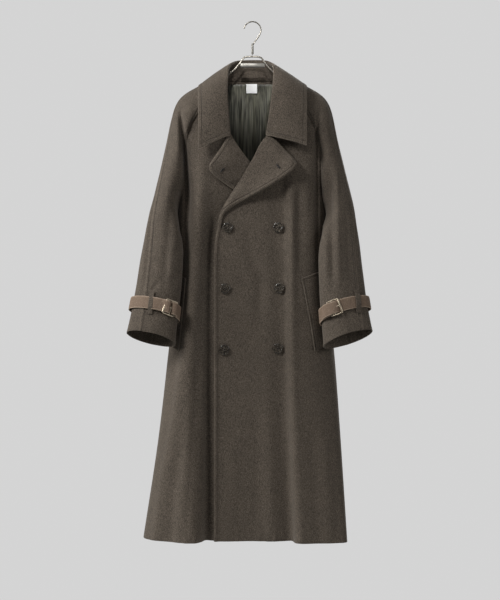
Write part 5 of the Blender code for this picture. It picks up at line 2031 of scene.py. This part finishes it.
@dataclass
class Hanger:
    """The bent wire hanger: its arms, its hook with a ferrule, and the flat bar between the arms."""

    bend: float = math.radians(60.0)
    levels: int = 2
    bar_rounding: float = 0.0006
    ferrule_radius: float = 0.0029
    ferrule_length: float = 0.025
    ferrule_drop: float = 0.0665
    ferrule_rounding: float = 0.0003
    lip: float = 0.0007

    def form(self, node: Piece) -> Piece:
        """Copy a CAD node's form as quads.

        Args:
            node: the CAD node.

        Returns:
            The copy.
        """
        name = node.name + "_metal"
        shape = welded(node.data)
        join_quads(shape, self.bend)
        return new_object(name, mesh_of(shape, name))

    def wire(self, node: Piece) -> Piece:
        """Copy a wire's CAD form and round it.

        Args:
            node: the CAD node.

        Returns:
            The wire.
        """
        made = self.form(node)
        split = made.modifiers.new("round", "SUBSURF")
        split.levels = split.render_levels = self.levels
        apply_modifiers(made)
        return made

    def ferrule(self, middle: float) -> Piece:
        """Model the small sleeve on the hook's stem.

        Args:
            middle: the stem's y.

        Returns:
            The ferrule.
        """
        clear_selection()
        bpy.ops.mesh.primitive_cylinder_add(vertices=32, radius=self.ferrule_radius,
                                            depth=self.ferrule_length,
                                            location=(0.0, middle, -self.ferrule_drop))
        made = bpy.context.active_object
        made.name = "hanger_ferrule"
        settle(made, Matrix.Identity(4))
        with editing():
            inset_ends(made, 2, self.lip, self.lip)
        soften(made, self.ferrule_rounding, 2)
        return made

    def build(self, nodes: Nodes, wire: Material, strip: Material) -> None:
        """Make the hanger's pieces.

        Args:
            nodes: the CAD nodes by name.
            wire: material of the bent wire.
            strip: material of the flat bar and the ferrule.
        """
        for name in ("hanger_arms", "hanger_hook"):
            made = self.wire(nodes[name])
            dress(made, wire)
            hand_over(made, Slot.WIRE, name)
        bar = self.form(nodes["hanger_bar"])
        soften(bar, self.bar_rounding)
        dress(bar, strip)
        hand_over(bar, Slot.BAR, "hanger_bar")
        low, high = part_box("hanger_hook")
        sleeve = self.ferrule(0.5 * (low[1] + high[1]))
        dress(sleeve, strip)
        hand_over(sleeve, Slot.WIRE)


@dataclass
class Stitching:
    """Rows of topstitching along the sewn edges, joined into one mesh."""

    length: float = 0.0031
    pitch: float = 0.0043
    radius: float = 0.00036
    sink: float = 0.00008
    tip: Span = (0.6, 0.5)
    gap: float = 0.006
    least: int = 5

    def pattern(self) -> Tuple[Array, Array]:
        """Model one stitch along X.

        Returns:
            Its points and its faces.
        """
        clear_selection()
        bpy.ops.mesh.primitive_cylinder_add(vertices=6, radius=self.radius, depth=self.length,
                                            rotation=(0.0, QUARTER_TURN, 0.0), end_fill_type="NGON")
        stitch = bpy.context.active_object
        bpy.ops.object.transform_apply(location=False, rotation=True, scale=False)
        with editing():
            inset_ends(stitch, 0, self.tip[0] * self.radius, self.tip[1] * self.radius)
            bpy.ops.mesh.select_all(action="SELECT")
            bpy.ops.mesh.quads_convert_to_tris()
        points = vertex_arrays(stitch.data)[0]
        faces = np.array([polygon.vertices[:] for polygon in stitch.data.polygons])
        drop_object(stitch)
        return points, faces

    def runs(self, row: Array) -> List[Array]:
        """Cut a row of points where it jumps."""
        jumps = np.flatnonzero(np.linalg.norm(np.diff(row[:, :3], axis=0), axis=1) > self.gap)
        return [run for run in np.split(row, jumps + 1) if len(run) >= self.least]

    def build(self, rows: Sequence[Array], thread: Material) -> None:
        """Set stitches along every row.

        Args:
            rows: points and normals of each row, six numbers each.
            thread: the thread's material.
        """
        points, faces = self.pattern()
        all_points, all_faces = [], []
        for run in (run for row in rows for run in self.runs(row)):
            places = places_along(run[:, :3])
            wanted = np.arange(0.5 * self.pitch, places[-1] - 0.5 * self.pitch, self.pitch)
            spots = read_at(wanted, places, run)
            if len(spots) < 2:
                continue
            out = unit(spots[:, 3:])
            way = np.gradient(spots[:, :3], axis=0)
            way = unit(way - out * np.sum(way * out, axis=1, keepdims=True))
            side = np.cross(out, way)
            centre = spots[:, :3] - self.sink * out
            for spot, x, y, z in zip(centre, way, side, out):
                all_faces.append(faces + len(all_points) * len(points))
                all_points.append(spot + points @ np.stack((x, y, z)))
        mesh = bpy.data.meshes.new("topstitching")
        mesh.from_pydata(np.concatenate(all_points).tolist(), [], np.concatenate(all_faces).tolist())
        made = new_object("topstitching", mesh)
        dress(made, thread)
        hand_over(made, Slot.WOOL)
        LOG.info("topstitching: %d stitches", len(all_points))


@dataclass(frozen=True)
class Buttonhole:
    """A worked buttonhole on a lapel, as (x, z) seen from the front, and its slant."""

    node: str
    spot: Spot
    slant: float
    half: float
    wide: float = 0.0024
    thread: float = 0.0007
    flat: float = 0.8
    stand: float = 0.0007
    slit_wide: float = 0.72
    slit_deep: float = 0.110

    def lay(self, obj: Piece, scale: Point, place: Matrix) -> None:
        """Flatten a part of the hole and lay it in its place.

        Args:
            obj: the part, round and active.
            scale: its scale along each axis.
            place: where it goes.
        """
        with editing():
            bpy.ops.mesh.select_all(action="SELECT")
            bpy.ops.transform.resize(value=scale)
        settle(obj, place)

    def build(self, cloth: Cloth) -> Tuple[Piece, Piece]:
        """Model the worked edge and the slit, and lay them on the lapel.

        Args:
            cloth: the lapel's cloth.

        Returns:
            The worked edge and the slit.
        """
        x, z = self.spot
        hit, out, _, _ = cloth.tree.ray_cast(Vector((x, -1.0, z)), Vector((0.0, 1.0, 0.0)))
        place = turn_to(hit + self.stand * out, out, UP)
        place = place @ Matrix.Rotation(math.radians(self.slant), 4, "Z")
        clear_selection()
        bpy.ops.mesh.primitive_torus_add(major_segments=40, minor_segments=8, major_radius=self.half,
                                         minor_radius=self.thread)
        edge = bpy.context.active_object
        self.lay(edge, (1.0, self.wide / self.half, self.flat), place)
        # The slit is a flat near-black piece that paints the shade inside the buttonhole's opening.
        clear_selection()
        bpy.ops.mesh.primitive_uv_sphere_add(segments=24, ring_count=8, radius=self.half - self.thread)
        slit = bpy.context.active_object
        self.lay(slit, (1.0, self.slit_wide * self.wide / self.half, self.slit_deep), place)
        return edge, slit


BUTTONHOLES = (
    Buttonhole("lapel_left", (0.0635, -0.3691), -51.0, 0.0088),
    Buttonhole("lapel_right", (-0.0741, -0.3774), 47.0, 0.0070),
)


def work_buttonholes(coat: CoatCloth, thread: Material, gap: Material) -> None:
    """Lay the lapels' buttonholes.

    Args:
        coat: the coat's cloth pieces.
        thread: material of the worked edges.
        gap: material of the slits, near black as painted shade in the opening.
    """
    edges, slits = zip(*(hole.build(coat.pieces[hole.node]) for hole in BUTTONHOLES))
    for name, parts, material in (("buttonhole_edges", edges, thread), ("buttonhole_slits", slits, gap)):
        made = join(parts, name)
        dress(made, material, 60.0)
        hand_over(made, Slot.WOOL)


# Studio


@dataclass
class Studio:
    """Camera at the photograph's place, soft light and a pale floor."""

    eye: Point = (-0.00625, -3.5, -0.695)
    lens: float = 84.0
    film: float = 36.0
    floor_drop: float = 1.80
    floor_radius: float = 1.60
    backdrop: float = 0.66
    ambient: float = 0.050
    beam_size: float = 0.04

    def camera(self) -> None:
        """Place the camera level in front of the coat."""
        data = bpy.data.cameras.new("camera")
        data.lens = self.lens
        data.sensor_width = self.film
        camera = new_object("camera", data)
        camera.location = self.eye
        camera.rotation_euler = (QUARTER_TURN, 0.0, 0.0)
        bpy.context.scene.camera = camera

    def light(self, name: str, kind: str, place: Point, aim: Point, power: float) -> bpy.types.Light:
        """Stand up a light.

        Args:
            name: its name.
            kind: Blender's name of its kind.
            place: where it stands.
            aim: the point that it faces.
            power: its power in watts.

        Returns:
            The light's data.
        """
        data = bpy.data.lights.new(name, kind)
        data.energy = power
        light = new_object(name, data)
        light.location = place
        light.rotation_euler = (Vector(aim) - Vector(place)).to_track_quat("-Z", "Y").to_euler()
        return data

    def lamp(self, name: str, place: Point, aim: Point, size: float, power: float) -> None:
        """Add a square soft light with sides of a size."""
        self.light(name, "AREA", place, aim, power).size = size

    def beam(self, name: str, place: Point, aim: Point, power: float, degrees: float) -> None:
        """Add a narrow light whose rim fades out.

        Args:
            name: its name.
            place: where it stands.
            aim: the point that it faces.
            power: its power in watts.
            degrees: the full angle of its cone.
        """
        data = self.light(name, "SPOT", place, aim, power)
        data.spot_size = math.radians(degrees)
        data.spot_blend = 1.0
        data.shadow_soft_size = self.beam_size

    def surroundings(self) -> None:
        """Set an even pale surrounding, bright to the eye and dim as a light."""
        world = bpy.data.worlds.new("studio")
        world.use_nodes = True
        bpy.context.scene.world = world
        graph = Graph(world.node_tree)
        background = world.node_tree.nodes["Background"]
        seen = graph.node("ShaderNodeLightPath").outputs["Is Camera Ray"]
        strength = graph.node("ShaderNodeMapRange")
        graph.fill(strength, Value=seen, To_Min=self.ambient, To_Max=self.backdrop)
        graph.fill(background, Strength=strength.outputs["Result"], Color=(1.0, 1.0, 1.0))

    def floor(self) -> None:
        """Lay a round pale floor well under the hem."""
        clear_selection()
        bpy.ops.mesh.primitive_circle_add(vertices=96, radius=self.floor_radius, fill_type="NGON",
                                          location=(0.0, 0.0, -self.floor_drop))
        floor = bpy.context.active_object
        floor.name = "floor"
        floor.data.materials.append(FloorFinish("pale_floor").material())

    def build(self) -> None:
        """Set up the view and its light."""
        bpy.context.scene.view_settings.view_transform = "Standard"
        self.camera()
        self.surroundings()
        self.lamp("key", (-2.35, -2.0, 1.60), (0.0, 0.0, -0.6), 0.9, 98.0)
        self.lamp("side", (-3.4, -0.4, 0.35), (0.0, 0.0, -0.7), 1.2, 95.0)
        self.lamp("top", (-0.15, -0.95, 1.15), (0.0, 0.0, -0.25), 0.5, 4.0)
        self.lamp("fill", (2.7, -2.4, 0.2), (0.0, 0.0, -0.7), 1.8, 36.0)
        self.beam("neck", (-0.10, -1.35, 0.75), (0.0, 0.03, -0.168), 110.0, 5.5)
        self.lamp("back", (1.2, 2.8, 0.9), (0.0, 0.0, -0.7), 2.0, 60.0)
        self.floor()


def main() -> None:
    """Build the coat, its trim and its hanger, and light them."""
    logging.basicConfig(level=logging.INFO, format="%(message)s")
    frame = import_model()
    nodes = frame["nodes"]
    wool = WoolFinish("coat_wool").material()
    satin = SatinFinish("lining_satin").material()
    weave = LabelFinish("label_weave").material()
    thread = ThreadFinish("sewing_thread").material()
    shadow = ThreadFinish("slit_shadow", (0.006, 0.005, 0.004), (0.003, 0.002, 0.002)).material()
    horn = HornFinish("button_horn").material()
    webbing = WebbingFinish("strap_webbing").material()
    plate = MetalFinish("buckle_plate", (0.50, 0.43, 0.33), (0.32, 0.26, 0.19), (0.40, 0.56)).material()
    wire = MetalFinish("hanger_wire", (0.42, 0.39, 0.34), (0.30, 0.275, 0.24), (0.40, 0.55)).material()
    strip = MetalFinish("hanger_strip", (0.27, 0.26, 0.235), (0.19, 0.18, 0.165), (0.50, 0.64)).material()
    coat = CoatCloth()
    coat.build(nodes, {Slot.WOOL: wool, Slot.LINING: satin, Slot.LABEL: weave})
    Buttons().build(nodes, coat.pieces["front_left"], horn, thread)
    Straps().build(nodes, webbing)
    Buckles().build(nodes, plate)
    Hanger().build(nodes, wire, strip)
    Stitching().build([row for cloth in coat.pieces.values() for row in cloth.rows], thread)
    work_buttonholes(coat, thread, shadow)
    Studio().build()


if __name__ == "__main__":
    main()
